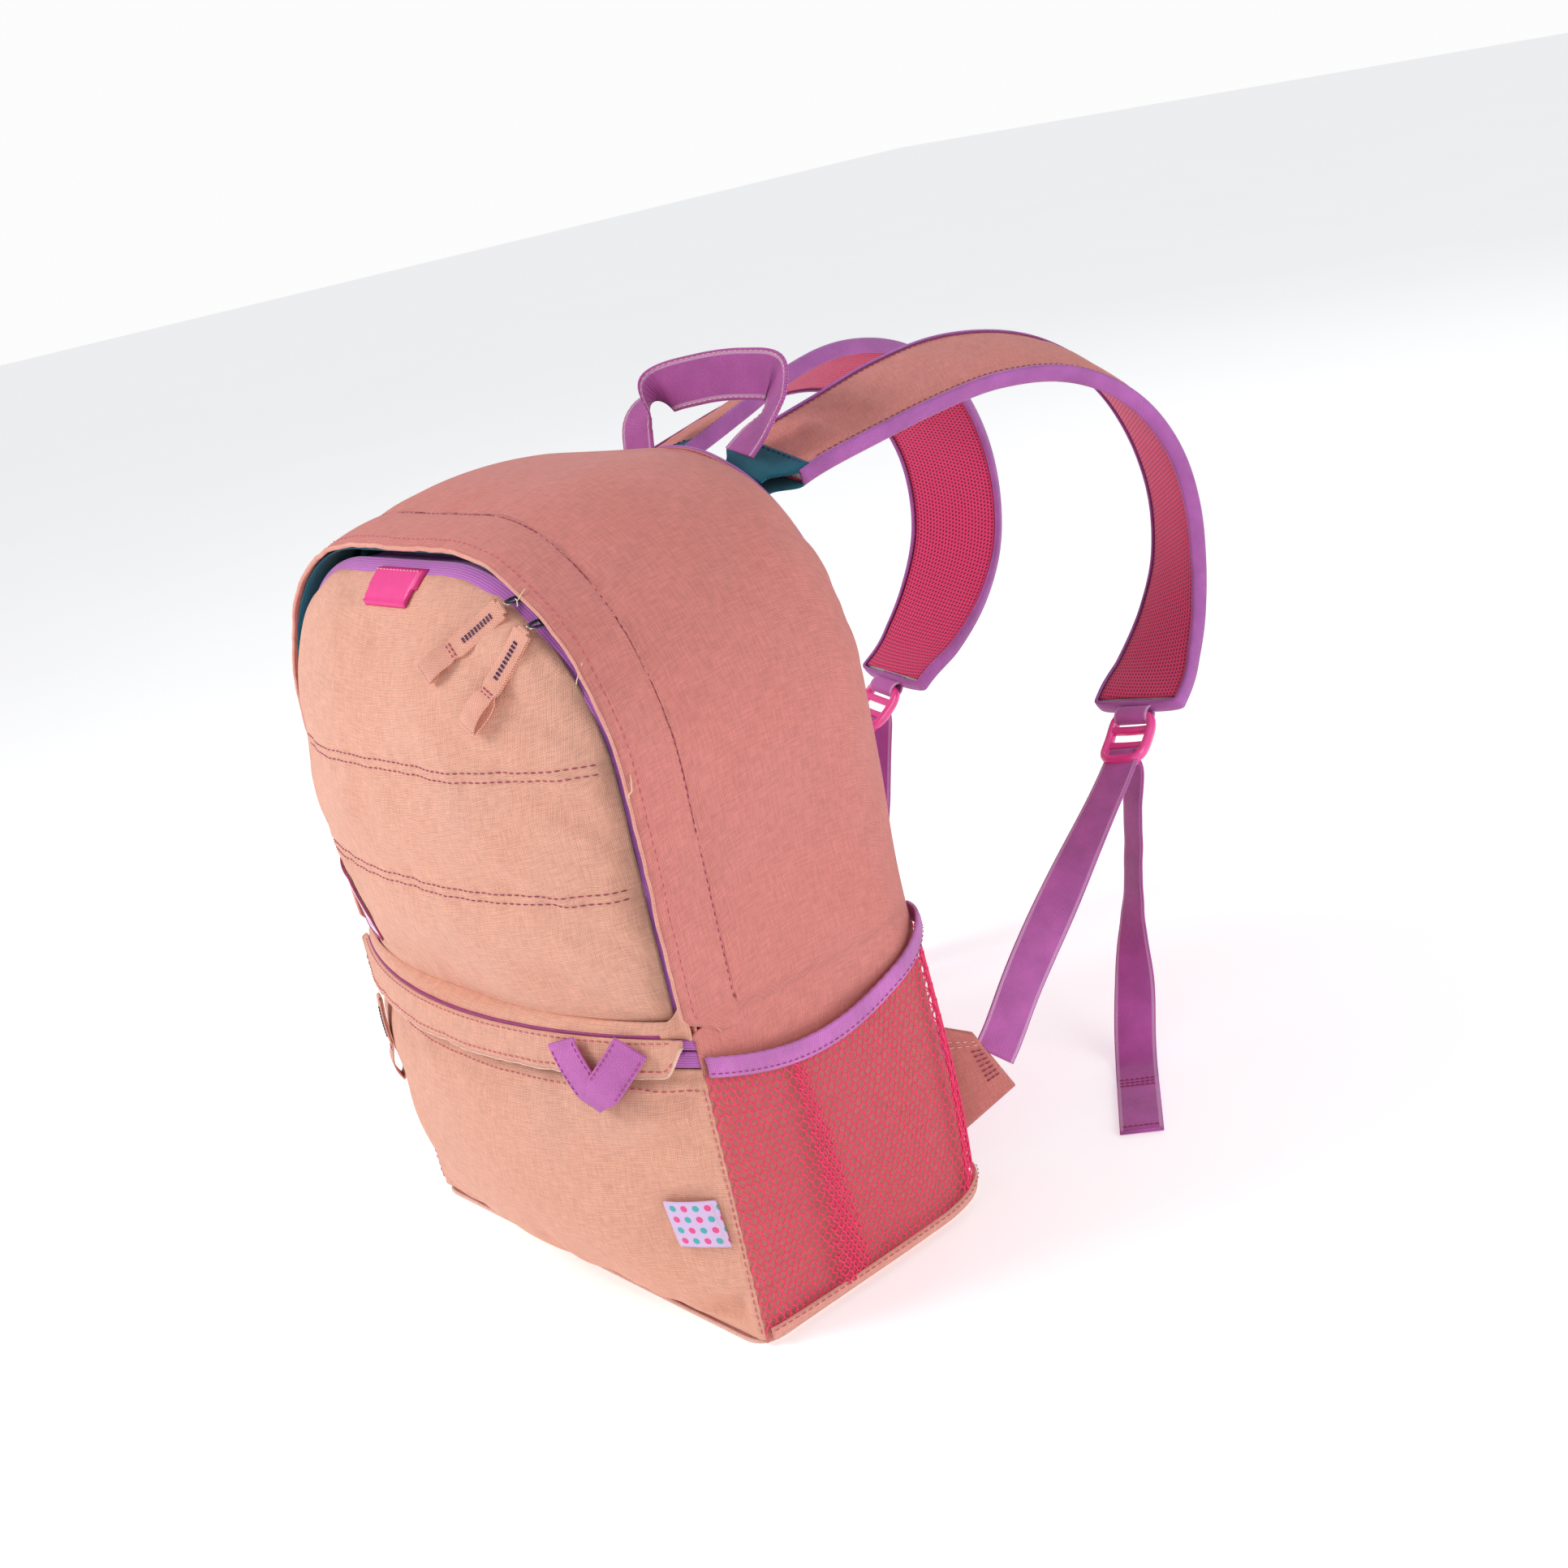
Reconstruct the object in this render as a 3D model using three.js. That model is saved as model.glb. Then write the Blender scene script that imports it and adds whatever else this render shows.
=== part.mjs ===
// A school backpack, standing on its flat bottom with the shoulder straps arched as they are worn.
// Millimetres, +Z up. +Y is the side of the wearer's back, -Y is the front pocket.
// X runs across the bag.
// The origin is the centre of the bottom face.
import * as THREE from 'three';

// ---- driving dimensions ----
const HALF_WIDTH = 154; // side of the bag, at the free edge of the zip flap
const TOP_Z = 415;
const SHOULDER_RADIUS = 112; // round upper corners of the front outline
const FRONT_Y = -88; // seam of the front panel
const BACK_Y = 88; // seam of the back panel
const TURN_Y = 36; // from here the side curves in to the narrower back
const FLAP_EDGE_Y = -93; // free edge of the flap over the main zip
const FLAP_ROOT_Y = -60; // stitched root of that flap
const BACK_HALF_WIDTH = 102;
const BACK_ARCH_Z = 290; // springing of the back outline's arch
const BACK_ARCH_RISE = 130;
const BOTTOM_FLARE = 16; // how much wider the back outline is at the bottom
const WAIST = 7; // how much the straps pull the back outline in
const TOP_PUFF = 14; // how far the filled top rises between its seams
const BACK_SEAM_TURN = 74; // how far the side has turned, in degrees, where it meets the back panel

const FABRIC = 1.5;
const SEAM_GAP = 0.4;
const SIDE_FOOT_Z = 2.6; // lower edge of the side band

const ZIP_INSET = 11; // main zip, inside the flap
const COIL = 1.5; // height of the closed zip's teeth
const PANEL_FOOT_Z = 183;
const PANEL_BULGE = 44;
const PANEL_FOOT_BULGE = 31;

const POCKET_TOP_Z = 158;
const POCKET_FOOT_Z = 4;
const POCKET_HALF_WIDTH = 150;
const POCKET_RADIUS = 330.5; // plan radius of the pocket zip
const POCKET_CENTRE_Y = 206.5;
const POCKET_FLAP_CLEARANCE = 7.2; // from the pocket zip to the flap's free edge

const STRAP_HALF_WIDTH = 29;
const STRAP_START = 0.062; // where the padding starts, as a fraction of the strap's line
const ROOT_HALF_WIDTH = 16;
const WEBBING_HALF_WIDTH = 12.5;
const WEBBING = 1.6;
const HANDLE_HALF_WIDTH = 13;

const LOCK_LENGTH = 36;
const LOCK_HALF_WIDTH = 17;
const LOCK_TAPER = 2; // how much narrower the buckle's far end is on each side
const LOCK_THICKNESS = 5;
const LOCK_CORNER = 5;
const LOCK_SLOT_HALF_WIDTH = 13;
const LOCK_SLOTS = [[4, 10], [15, 20], [25, 30]]; // from and to, along the buckle
const LOCK_GAP = 8; // from the strap's end to the buckle

const SLIDER_ANGLES = { right: 49, left: 59 }; // places on the right shoulder arc, in degrees
const SLIDER_SIZE = [11, 9, 2];
const PULLER_SIZE = [6, 15.5, 1.2];
const PULL_LENGTH = 54;
const PULL_WIDTH = 11;
const PULL_THICKNESS = 3;
const PULL_START_Y = -98.5;
const POCKET_SLIDER_X = -118;
const POCKET_SLIDER_SIZE = [11, 9, 3];
const POCKET_PULLER_SIZE = [6, 18, 1];
const POCKET_PULL_LENGTH = 52;

const DEG = Math.PI / 180;
const ARC_X = HALF_WIDTH - SHOULDER_RADIUS; // centre of the right shoulder arc
const ARC_Z = TOP_Z - SHOULDER_RADIUS;

// ---- colours ----
const fabric = (color) => new THREE.MeshStandardMaterial({ color, roughness: 0.85, metalness: 0 });
const PEACH = fabric(0xf0b193);
const SALMON = fabric(0xd98a85);
const TEAL = fabric(0x1b8a93);
const PURPLE = fabric(0xb765cf);
const PINK_MESH = fabric(0xe0306f);
const FOAM = fabric(0xe8e4e0);
const WHITE_FABRIC = fabric(0xe6d3ee);
const BOARD = new THREE.MeshStandardMaterial({ color: 0x3a3a3e, roughness: 0.6 });
const PINK_PLASTIC = new THREE.MeshStandardMaterial({ color: 0xff3f92, roughness: 0.25 });
const PINK_RUBBER = new THREE.MeshStandardMaterial({ color: 0xe8258a, roughness: 0.5 });
const METAL = new THREE.MeshStandardMaterial({ color: 0xb9b4bd, roughness: 0.3, metalness: 1 });

const vec = (x, y, z) => new THREE.Vector3(x, y, z);
const lerp = THREE.MathUtils.lerp;
const clamp01 = (t) => Math.min(Math.max(t, 0), 1);
const smooth = (t) => clamp01(t) ** 2 * (3 - 2 * clamp01(t));

// ---- closed solids from points ----
function closedGeometry(points, triangles) {
  let volume = 0;
  for (const [a, b, c] of triangles) {
    volume += points[a].dot(points[b].clone().cross(points[c])) / 6;
  }
  const turned = volume < 0 ? triangles.map(([a, b, c]) => [a, c, b]) : triangles;
  const positions = points.flatMap((p) => p.toArray());
  const geometry = new THREE.BufferGeometry();
  geometry.setAttribute('position', new THREE.Float32BufferAttribute(positions, 3));
  geometry.setIndex(turned.flat());
  geometry.computeVertexNormals();
  return geometry;
}

// A sheet of some thickness. point(u, v, face) gives face 0 and face 1, over u and v from 0 to 1.
function sheet(point, columns, rows) {
  const points = [];
  const triangles = [];
  const at = (i, j, face) => (face * (columns + 1) + i) * (rows + 1) + j;
  const quad = (a, b, c, d) => triangles.push([a, b, c], [a, c, d]);
  for (const face of [0, 1]) {
    for (let i = 0; i <= columns; i++) {
      for (let j = 0; j <= rows; j++) points.push(point(i / columns, j / rows, face));
    }
  }
  for (let i = 0; i < columns; i++) {
    for (let j = 0; j < rows; j++) {
      quad(at(i, j, 1), at(i + 1, j, 1), at(i + 1, j + 1, 1), at(i, j + 1, 1));
      quad(at(i, j, 0), at(i, j + 1, 0), at(i + 1, j + 1, 0), at(i + 1, j, 0));
    }
    quad(at(i + 1, 0, 1), at(i, 0, 1), at(i, 0, 0), at(i + 1, 0, 0));
    quad(at(i, rows, 1), at(i + 1, rows, 1), at(i + 1, rows, 0), at(i, rows, 0));
  }
  for (let j = 0; j < rows; j++) {
    quad(at(0, j, 1), at(0, j + 1, 1), at(0, j + 1, 0), at(0, j, 0));
    quad(at(columns, j + 1, 1), at(columns, j, 1), at(columns, j, 0), at(columns, j + 1, 0));
  }
  return closedGeometry(points, triangles);
}

// A section of [a, b] corners carried along frames of { origin, a, b }.
// A loop joins the last frame to the first.
function sweep(section, frames, loop = false) {
  const count = section.length;
  const points = frames.flatMap((f) =>
    section.map(([a, b]) => f.origin.clone().addScaledVector(f.a, a).addScaledVector(f.b, b)));
  const triangles = [];
  const spans = loop ? frames.length : frames.length - 1;
  for (let i = 0; i < spans; i++) {
    const here = i * count;
    const next = ((i + 1) % frames.length) * count;
    for (let k = 0; k < count; k++) {
      const l = (k + 1) % count;
      triangles.push([here + k, here + l, next + l], [here + k, next + l, next + k]);
    }
  }
  if (!loop) {
    const corners = section.map(([a, b]) => new THREE.Vector2(a, b));
    const last = (frames.length - 1) * count;
    for (const [a, b, c] of THREE.ShapeUtils.triangulateShape(corners, [])) {
      // the section is listed anticlockwise, so the first cap is turned over
      triangles.push([a, c, b], [last + a, last + b, last + c]);
    }
  }
  return closedGeometry(points, triangles);
}

const box = (a0, a1, b0, b1) => [[a0, b0], [a1, b0], [a1, b1], [a0, b1]];
const part = (name, geometry, material) => Object.assign(new THREE.Mesh(geometry, material), { name });

// ---- the bag's outlines, by a station p ----
// 0-1 runs up the right side, 1-2 round the shoulder, 2-3 to the top's middle,
// and 3-6 is the same on the left.
const mirrored = (p) => (p > 3 ? { p: 6 - p, side: -1 } : { p, side: 1 });

function frontOutline(station, inset = 0, foot = SIDE_FOOT_Z) {
  const { p, side } = mirrored(station);
  if (p <= 1) return vec(side * (HALF_WIDTH - inset), 0, lerp(foot, ARC_Z, p));
  const angle = Math.min(p - 1, 1) * 90 * DEG;
  const radius = SHOULDER_RADIUS - inset;
  const x = p <= 2 ? ARC_X + radius * Math.cos(angle) : lerp(ARC_X, 0, p - 2);
  return vec(side * x, 0, ARC_Z + radius * Math.sin(angle));
}

function backHalfWidth(z) {
  const flare = BOTTOM_FLARE * smooth((150 - z) / 110);
  const waist = WAIST * Math.exp(-(((z - 195) / 35) ** 2));
  return BACK_HALF_WIDTH + flare - waist;
}

const ARCH_TURN = 64; // degrees of the back's arch used up by the shoulder

function backOutline(station, foot = SIDE_FOOT_Z) {
  const { p, side } = mirrored(station);
  if (p <= 1) {
    const z = lerp(foot, BACK_ARCH_Z, p);
    return vec(side * backHalfWidth(z), 0, z);
  }
  const angle = (p <= 2 ? lerp(0, ARCH_TURN, p - 1) : lerp(ARCH_TURN, 90, p - 2)) * DEG;
  const x = side * backHalfWidth(BACK_ARCH_Z) * Math.cos(angle);
  return vec(x, 0, BACK_ARCH_Z + BACK_ARCH_RISE * Math.sin(angle));
}

// The side band's outer surface. turn is 0 in front of TURN_Y and grows to 90 degrees at the back seam.
function sideSurface(station, y, turn = 0) {
  const front = frontOutline(station);
  const back = backOutline(station);
  const inward = 1 - Math.cos(turn * DEG);
  const depth = turn > 0 ? TURN_Y + (BACK_Y - TURN_Y) * Math.sin(turn * DEG) : y;
  const point = front.lerp(back, inward);
  const top = smooth(mirrored(station).p - 1);
  const along = clamp01((depth - FLAP_EDGE_Y) / (BACK_Y - FLAP_EDGE_Y));
  point.z += TOP_PUFF * top * Math.sin(Math.PI * along) * (1 - 0.5 * inward);
  point.y = depth;
  return point;
}

const STATION_STEP = 0.02; // for directions along the outline

// The direction of the side surface along the outline.
function sideAlong(station, y, turn) {
  const ahead = sideSurface(Math.min(station + STATION_STEP, 6), y, turn);
  return ahead.sub(sideSurface(Math.max(station - STATION_STEP, 0), y, turn));
}

// The same surface, moved out along its normal.
function sideOffset(station, y, turn, offset) {
  const along = sideAlong(station, y, turn);
  const across = turn > 0
    ? sideSurface(station, y, Math.min(turn + 1, 90)).sub(sideSurface(station, y, turn - 1))
    : sideSurface(station, y + 1).sub(sideSurface(station, y - 1));
  const normal = across.cross(along).normalize();
  return sideSurface(station, y, turn).addScaledVector(normal, offset);
}

const SIDE_STATIONS = [
  0, 0.15, 0.3, 0.45, 0.6, 0.8, 1, 1.125, 1.25, 1.375, 1.5, 1.625, 1.75, 1.875, 2, 2.5,
];
const ZIP_FOOT = 0.6; // station where the main zip ends
const STATIONS = [...SIDE_STATIONS, 3, ...SIDE_STATIONS.map((p) => 6 - p).reverse()];
const stationAt = (u) => STATIONS[Math.round(u * (STATIONS.length - 1))];

function band(depths, outer, inner, lowestFront = FLAP_EDGE_Y) {
  const point = (u, v, face) => {
    const [y, turn] = depths[Math.round(v * (depths.length - 1))];
    const station = stationAt(u);
    const front = mirrored(station).p < ZIP_FOOT ? lowestFront : FLAP_EDGE_Y;
    return sideOffset(station, Math.max(y, front), turn, face ? outer : inner);
  };
  return sheet(point, STATIONS.length - 1, depths.length - 1);
}

const FLAT_DEPTHS = [[-28, 0], [4, 0], [TURN_Y, 0]];
const BACK_TURNS = [20, 40, 58, BACK_SEAM_TURN].map((turn) => [TURN_Y, turn]);
const LINING = 0.8; // thickness of the lining
const UNDER = -FABRIC - SEAM_GAP; // where the lining lies under the side band

// Below the zip the side band ends at the pocket's seam.
// Above it the band runs on as the flap over the zip.
function gusset() {
  const depths = [[FLAP_EDGE_Y, 0], [FLAP_ROOT_Y, 0], ...FLAT_DEPTHS, ...BACK_TURNS];
  return part('gusset', band(depths, 0, -FABRIC, FRONT_Y + 0.5), SALMON);
}

function interiorLining() {
  const depths = [[FLAP_ROOT_Y + 3, 0], ...FLAT_DEPTHS, ...BACK_TURNS.slice(0, 3)];
  return part('interior_lining', band(depths, UNDER, UNDER - LINING), TEAL);
}

// Frames along the front outline: a points out of the bag, b towards its back.
function outlineFrames(inset, startStation = 0) {
  const stations = STATIONS.filter((p) => p >= startStation && p <= 6 - startStation);
  return stations.map((station) => {
    const { p, side } = mirrored(station);
    const angle = clamp01(p - 1) * 90 * DEG;
    return {
      origin: frontOutline(station, inset),
      a: vec(side * Math.cos(angle), 0, Math.sin(angle)),
      b: vec(0, 1, 0),
    };
  });
}

function stormFlapLining() {
  const low = UNDER - 1.1;
  const zip = -ZIP_INSET + 1;
  const edge = FLAP_EDGE_Y + 1;
  const root = FLAP_ROOT_Y + 1.5;
  const section = [
    [low, edge], [UNDER, edge], [UNDER, root],
    [zip, root], [zip, FLAP_ROOT_Y], [low, FLAP_ROOT_Y],
  ];
  return part('storm_flap_lining', sweep(section, outlineFrames(0, ZIP_FOOT)), TEAL);
}

function mainZip(name, front, back, height) {
  return part(name, sweep(box(0, height, front, back), outlineFrames(ZIP_INSET, ZIP_FOOT)), PURPLE);
}

// ---- bottom and back ----
function bottomOutline(inset) {
  const corner = 14;
  const shape = new THREE.Shape();
  const front = FRONT_Y + inset;
  const back = BACK_Y - inset;
  const wide = HALF_WIDTH - 2 - inset;
  const narrow = backHalfWidth(0) - inset;
  shape.moveTo(-wide + corner, front);
  shape.lineTo(wide - corner, front);
  shape.quadraticCurveTo(wide, front, wide, front + corner);
  shape.lineTo(wide, TURN_Y);
  shape.quadraticCurveTo(wide, back, narrow, back);
  shape.lineTo(-narrow, back);
  shape.quadraticCurveTo(-wide, back, -wide, TURN_Y);
  shape.lineTo(-wide, front + corner);
  shape.quadraticCurveTo(-wide, front, -wide + corner, front);
  return shape;
}

function plate(shape, low, high) {
  const depth = high - low;
  const geometry = new THREE.ExtrudeGeometry(shape, { depth, bevelEnabled: false, curveSegments: 5 });
  return geometry.translate(0, 0, low);
}

const bottomPanel = () => part('bottom_panel', plate(bottomOutline(0), 0, 2), SALMON);
const baseBoard = () => part('base_board', plate(bottomOutline(14), 3.2, 6.4), BOARD);

// A flat piece of the back. rim(station) is its right edge, y0 and y1 its two faces.
function backPlate(rim, y0, y1, swell0 = 0, swell1 = 0) {
  const stations = SIDE_STATIONS.concat(3);
  const point = (u, v, face) => {
    const { x, z } = rim(stations[Math.round(v * (stations.length - 1))]);
    const across = 2 * u - 1;
    const crown = Math.sqrt(Math.max(0, 1 - across ** 2));
    const y = face ? y1 + swell1 * crown : y0 + swell0 * crown;
    return vec(across * x, y, z);
  };
  return sheet(point, 6, stations.length - 1);
}

// The back panel runs out to the end of the side band.
function panelRim(station) {
  const rim = sideSurface(station, TURN_Y, BACK_SEAM_TURN);
  const top = smooth(station - 1);
  return { x: Math.max(rim.x - 1.2, 3), z: Math.max(rim.z, 3) - 2.5 * top };
}

// The padding stays inside the seam by a spread at its sides and a drop at its top.
function padRim(spread, drop, foot) {
  return (station) => {
    const rim = backOutline(station, foot);
    const lowered = drop * smooth((rim.z - BACK_ARCH_Z) / BACK_ARCH_RISE);
    return { x: Math.max(rim.x - spread, 5), z: rim.z - lowered };
  };
}

const PAD_SWELL = 3;
const PAD_FRONT = BACK_Y - 1.8;
const PAD_BACK = BACK_Y + 1.4;
const FACING_FRONT = BACK_Y + 2.6;

function backPanel() {
  return part('back_panel', backPlate(panelRim, BACK_Y - 3.6, BACK_Y - 2.2), SALMON);
}

function backFoam() {
  return part('back_foam_pad', backPlate(padRim(14, 18, 12), PAD_FRONT, PAD_BACK, 0, PAD_SWELL), FOAM);
}

function backMesh() {
  const plate = backPlate(padRim(10, 10, 8), FACING_FRONT, FACING_FRONT + 1.2, PAD_SWELL, PAD_SWELL);
  return part('back_mesh_facing', plate, PINK_MESH);
}

function backSeamBinding() {
  const turn = BACK_SEAM_TURN + 2;
  const frames = STATIONS.map((station) => {
    const origin = sideSurface(station, TURN_Y, turn).setY(BACK_Y);
    const along = sideAlong(station, TURN_Y, turn).normalize();
    return { origin, a: vec(along.z, 0, -along.x), b: vec(0, 1, 0) };
  });
  return part('back_seam_binding', sweep(box(-2.5, 0.5, 0.3, 3), frames), PURPLE);
}

// ---- front panel, which folds forward at its foot when the main zip is open ----
function panelHalfWidth(z, inset) {
  const wide = HALF_WIDTH - inset;
  if (z <= ARC_Z) return wide;
  const radius = SHOULDER_RADIUS - inset;
  return ARC_X + Math.sqrt(Math.max(radius ** 2 - (z - ARC_Z) ** 2, 0));
}

function panelBulge(x, z) {
  const wide = HALF_WIDTH - ZIP_INSET;
  const high = TOP_Z - ZIP_INSET;
  let inset = wide - Math.abs(x);
  if (z > ARC_Z) {
    const corner = SHOULDER_RADIUS - ZIP_INSET - Math.hypot(Math.abs(x) - ARC_X, z - ARC_Z);
    inset = Math.abs(x) > ARC_X ? corner : high - z;
  }
  const crown = (1 - (1 - clamp01(inset / 115)) ** 2) ** 0.8;
  const foot = PANEL_FOOT_BULGE / PANEL_BULGE;
  return PANEL_BULGE * crown * lerp(foot, 1, smooth((z - PANEL_FOOT_Z) / 60));
}

const PANEL_ROWS = [
  ...[PANEL_FOOT_Z, 212, 242, 272, ARC_Z],
  ...[15, 30, 45, 60, 73, 84].map((a) => ARC_Z + (SHOULDER_RADIUS - ZIP_INSET) * Math.sin(a * DEG)),
];

const PANEL_COLUMNS = 16;

// A layer of the front panel; trim leaves that many grid cells off its two sides and its top.
function panelSheet(trim, outer, inner) {
  const columns = PANEL_COLUMNS - 2 * trim;
  const rows = PANEL_ROWS.length - 1 - trim;
  const point = (u, v, face) => {
    const z = PANEL_ROWS[Math.round(v * rows)];
    const across = (trim + u * columns) / PANEL_COLUMNS;
    const x = (2 * across - 1) * panelHalfWidth(z, ZIP_INSET + 0.5);
    return vec(x, FRONT_Y - panelBulge(x, z) + (face ? outer : inner), z);
  };
  return sheet(point, columns, rows);
}

const frontUpperPanel = () => part('front_upper_panel', panelSheet(0, 0, FABRIC), PEACH);

function frontPanelLining() {
  const outer = FABRIC + 0.5;
  return part('front_panel_lining', panelSheet(1, outer, outer + LINING), TEAL);
}

// A flat decoration lying on the front panel.
function onPanel(name, x0, x1, z0, z1, height, material) {
  const point = (u, v, face) => {
    const x = lerp(x0, x1, u);
    const z = lerp(z0, z1, v);
    return vec(x, FRONT_Y - panelBulge(x, z) - 1 - (face ? height : 0), z);
  };
  return part(name, sheet(point, 6, 4), material);
}

// ---- pocket zip and pocket ----
const pocketArcY = (x, radius = POCKET_RADIUS) => POCKET_CENTRE_Y - Math.sqrt(radius ** 2 - x ** 2);

function pocketArcFrames(halfWidth, steps) {
  return Array.from({ length: steps + 1 }, (_, i) => {
    const angle = lerp(-1, 1, i / steps) * Math.asin(halfWidth / POCKET_RADIUS);
    const out = vec(Math.sin(angle), -Math.cos(angle), 0);
    const origin = vec(0, POCKET_CENTRE_Y, 0).addScaledVector(out, POCKET_RADIUS);
    return { origin, a: out, b: vec(0, 0, 1) };
  });
}

const pocketTape = (name, z0, z1) =>
  part(name, sweep(box(-1, 0, z0, z1), pocketArcFrames(POCKET_HALF_WIDTH - 3, 12)), PURPLE);

function pocketFlap() {
  // it leans out from its seam, so that the zip slider and its pull pass behind it
  const foot = POCKET_FLAP_CLEARANCE;
  const seam = foot - 3;
  const high = 176.3;
  const low = POCKET_TOP_Z - 1;
  const section = [[seam, high], [foot, low], [foot + FABRIC, low], [seam + FABRIC, high]];
  return part('pocket_flap', sweep(section, pocketArcFrames(POCKET_HALF_WIDTH - 2, 12)), PEACH);
}

const POCKET_RISE = 36; // how far the pocket zip's middle stands in front of its ends
const POCKET_BELLY = 43; // how far the pocket stands out below it

const pocketHeight = (x) => Math.sqrt(POCKET_RADIUS ** 2 - x ** 2);
const pocketCrown = (x) => (pocketHeight(x) - pocketHeight(POCKET_HALF_WIDTH)) / POCKET_RISE;

function pocketBulge(z) {
  const belly = lerp(POCKET_BELLY, POCKET_RISE, smooth((z - 135) / 23));
  return belly * (1 - (1 - clamp01((z - POCKET_FOOT_Z + 1) / 95)) ** 2.6);
}

function frontPocket() {
  const rows = [POCKET_FOOT_Z, 10, 20, 36, 60, 95, 128, 145, POCKET_TOP_Z];
  const point = (u, v, face) => {
    const x = (2 * u - 1) * (POCKET_HALF_WIDTH + 0.5);
    const z = rows[Math.round(v * (rows.length - 1))];
    const bulge = pocketBulge(z) * Math.max(pocketCrown(x), 0);
    return vec(x, FRONT_Y - 0.4 - bulge + (face ? 0 : FABRIC), z);
  };
  return part('front_pocket', sheet(point, 14, rows.length - 1), PEACH);
}

function pocketBackWall() {
  const rows = [POCKET_FOOT_Z + 3.5, 50, 100, 140, 170];
  const point = (u, v, face) => {
    const x = (2 * u - 1) * (POCKET_HALF_WIDTH - 2);
    const z = rows[Math.round(v * (rows.length - 1))];
    const bow = (PANEL_FOOT_BULGE - 2) * pocketCrown(x) * smooth((z - 20) / 150);
    return vec(x, FRONT_Y + 4.5 - bow - (face ? 1 : 0), z);
  };
  return part('pocket_back_wall', sheet(point, 14, rows.length - 1), TEAL);
}

function gearLoop() {
  const lean = [[9.2, 175], [11, 162], [13, 148], [14.5, 138]];
  const centre = 110;
  const halfWidths = [30, 26, 15, 5];
  const point = (u, v, face) => {
    const k = Math.round(v * (lean.length - 1));
    const [out, z] = lean[k];
    const x = centre - 5 * v + (2 * u - 1) * halfWidths[k];
    return vec(x, pocketArcY(x, POCKET_RADIUS + out + (face ? WEBBING : 0)), z);
  };
  return part('gear_loop', sheet(point, 4, lean.length - 1), PURPLE);
}

// ---- mesh side pockets, their elastic edge, and the label in the seam ----
function pocketMouthZ(v) {
  // the mouth sags between its two seams
  return lerp(164, 172, v) - 22 * Math.sin(Math.PI * Math.min(v * 1.15, 1)) * (1 - 0.25 * v);
}

function sidePoint(side, v, z, offset) {
  // v runs from the front seam to the back seam
  const y = v < 0.68 ? lerp(FRONT_Y + 1, TURN_Y, v / 0.68) : TURN_Y;
  const turn = v < 0.68 ? 0 : lerp(0, 66, (v - 0.68) / 0.32);
  const station = (z - SIDE_FOOT_Z) / (ARC_Z - SIDE_FOOT_Z);
  return sideOffset(side > 0 ? station : 6 - station, y, turn, offset);
}

function meshPocket(side, name) {
  const point = (u, v, face) => {
    const z = lerp(SIDE_FOOT_Z + 1, pocketMouthZ(v) - 10, u);
    const belly = Math.sin(Math.PI * Math.min(u * 0.75 + 0.12, 1));
    const puff = 12 * Math.sin(Math.PI * v) ** 0.6 * lerp(0.15, 1, belly);
    return sidePoint(side, v, z, 0.8 + puff + (face ? 1.2 : 0));
  };
  return part(name, sheet(point, 7, 10), PINK_MESH);
}

function elasticBinding(side, name) {
  const point = (u, v, face) => {
    const z = pocketMouthZ(v) - lerp(9.5, -1.5, u);
    const puff = 8.2 * Math.sin(Math.PI * v) ** 0.6;
    return sidePoint(side, v, z, 0.8 + puff + (face ? 2 : 0));
  };
  return part(name, sheet(point, 1, 10), PURPLE);
}

function sideLabel() {
  const point = (u, v, face) => {
    const x = lerp(122, 149, u);
    const z = lerp(58, 86, v);
    return vec(x, FRONT_Y - 2 - pocketBulge(z) * pocketCrown(x) - (face ? 1 : 0), z);
  };
  return part('side_label', sheet(point, 4, 2), WHITE_FABRIC);
}

function bottomPiping() {
  const section = box(0, 2, 0, 2.2);
  const shape = bottomOutline(-0.7).getPoints(5);
  const frames = shape.slice(0, -1).map((p, i, all) => {
    const next = all[(i + 1) % all.length];
    const last = all[(i + all.length - 1) % all.length];
    const along = next.clone().sub(last).normalize();
    return { origin: vec(p.x, p.y, 0), a: vec(along.y, -along.x, 0), b: vec(0, 0, 1) };
  });
  return part('bottom_seam_piping', sweep(section, frames, true), WHITE_FABRIC);
}

// ---- straps ----
// Right strap's centre line from its root to its buckle end, and the direction of its outer edge.
const STRAP_LINE = new THREE.CatmullRomCurve3([
  [46, 90, 397], [50, 120, 405], [57, 165, 414], [64, 208, 422], [70, 252, 425],
  [77, 297, 418], [82, 331, 403], [87, 360, 378], [91, 378, 345], [94, 384, 310],
  [96, 379, 277], [99, 362, 246], [103, 337, 220], [107, 312, 203],
].map((p) => vec(...p)));
const STRAP_EDGE = new THREE.CatmullRomCurve3([
  [1, 0, -0.25], [1, 0, -0.2], [0.97, -0.05, -0.25], [0.95, -0.08, -0.33], [0.94, -0.1, -0.36],
  [0.93, -0.25, -0.33], [0.92, -0.3, -0.3], [0.9, -0.4, -0.22], [0.88, -0.45, -0.1], [0.87, -0.48, 0],
  [0.87, -0.48, 0], [0.87, -0.45, -0.1], [0.87, -0.42, -0.2], [0.87, -0.4, -0.25],
].map((p) => vec(...p)));

function ribbonFrame(line, edge, t, side) {
  const origin = line.getPoint(t);
  const along = line.getTangent(t);
  const a = edge.getPoint(t);
  a.addScaledVector(along, -a.dot(along)).normalize();
  const b = a.clone().cross(along).normalize();
  for (const v of [origin, a, b]) v.x *= side;
  return { origin, a, b };
}

const STRAP_STEPS = 26;

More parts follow.
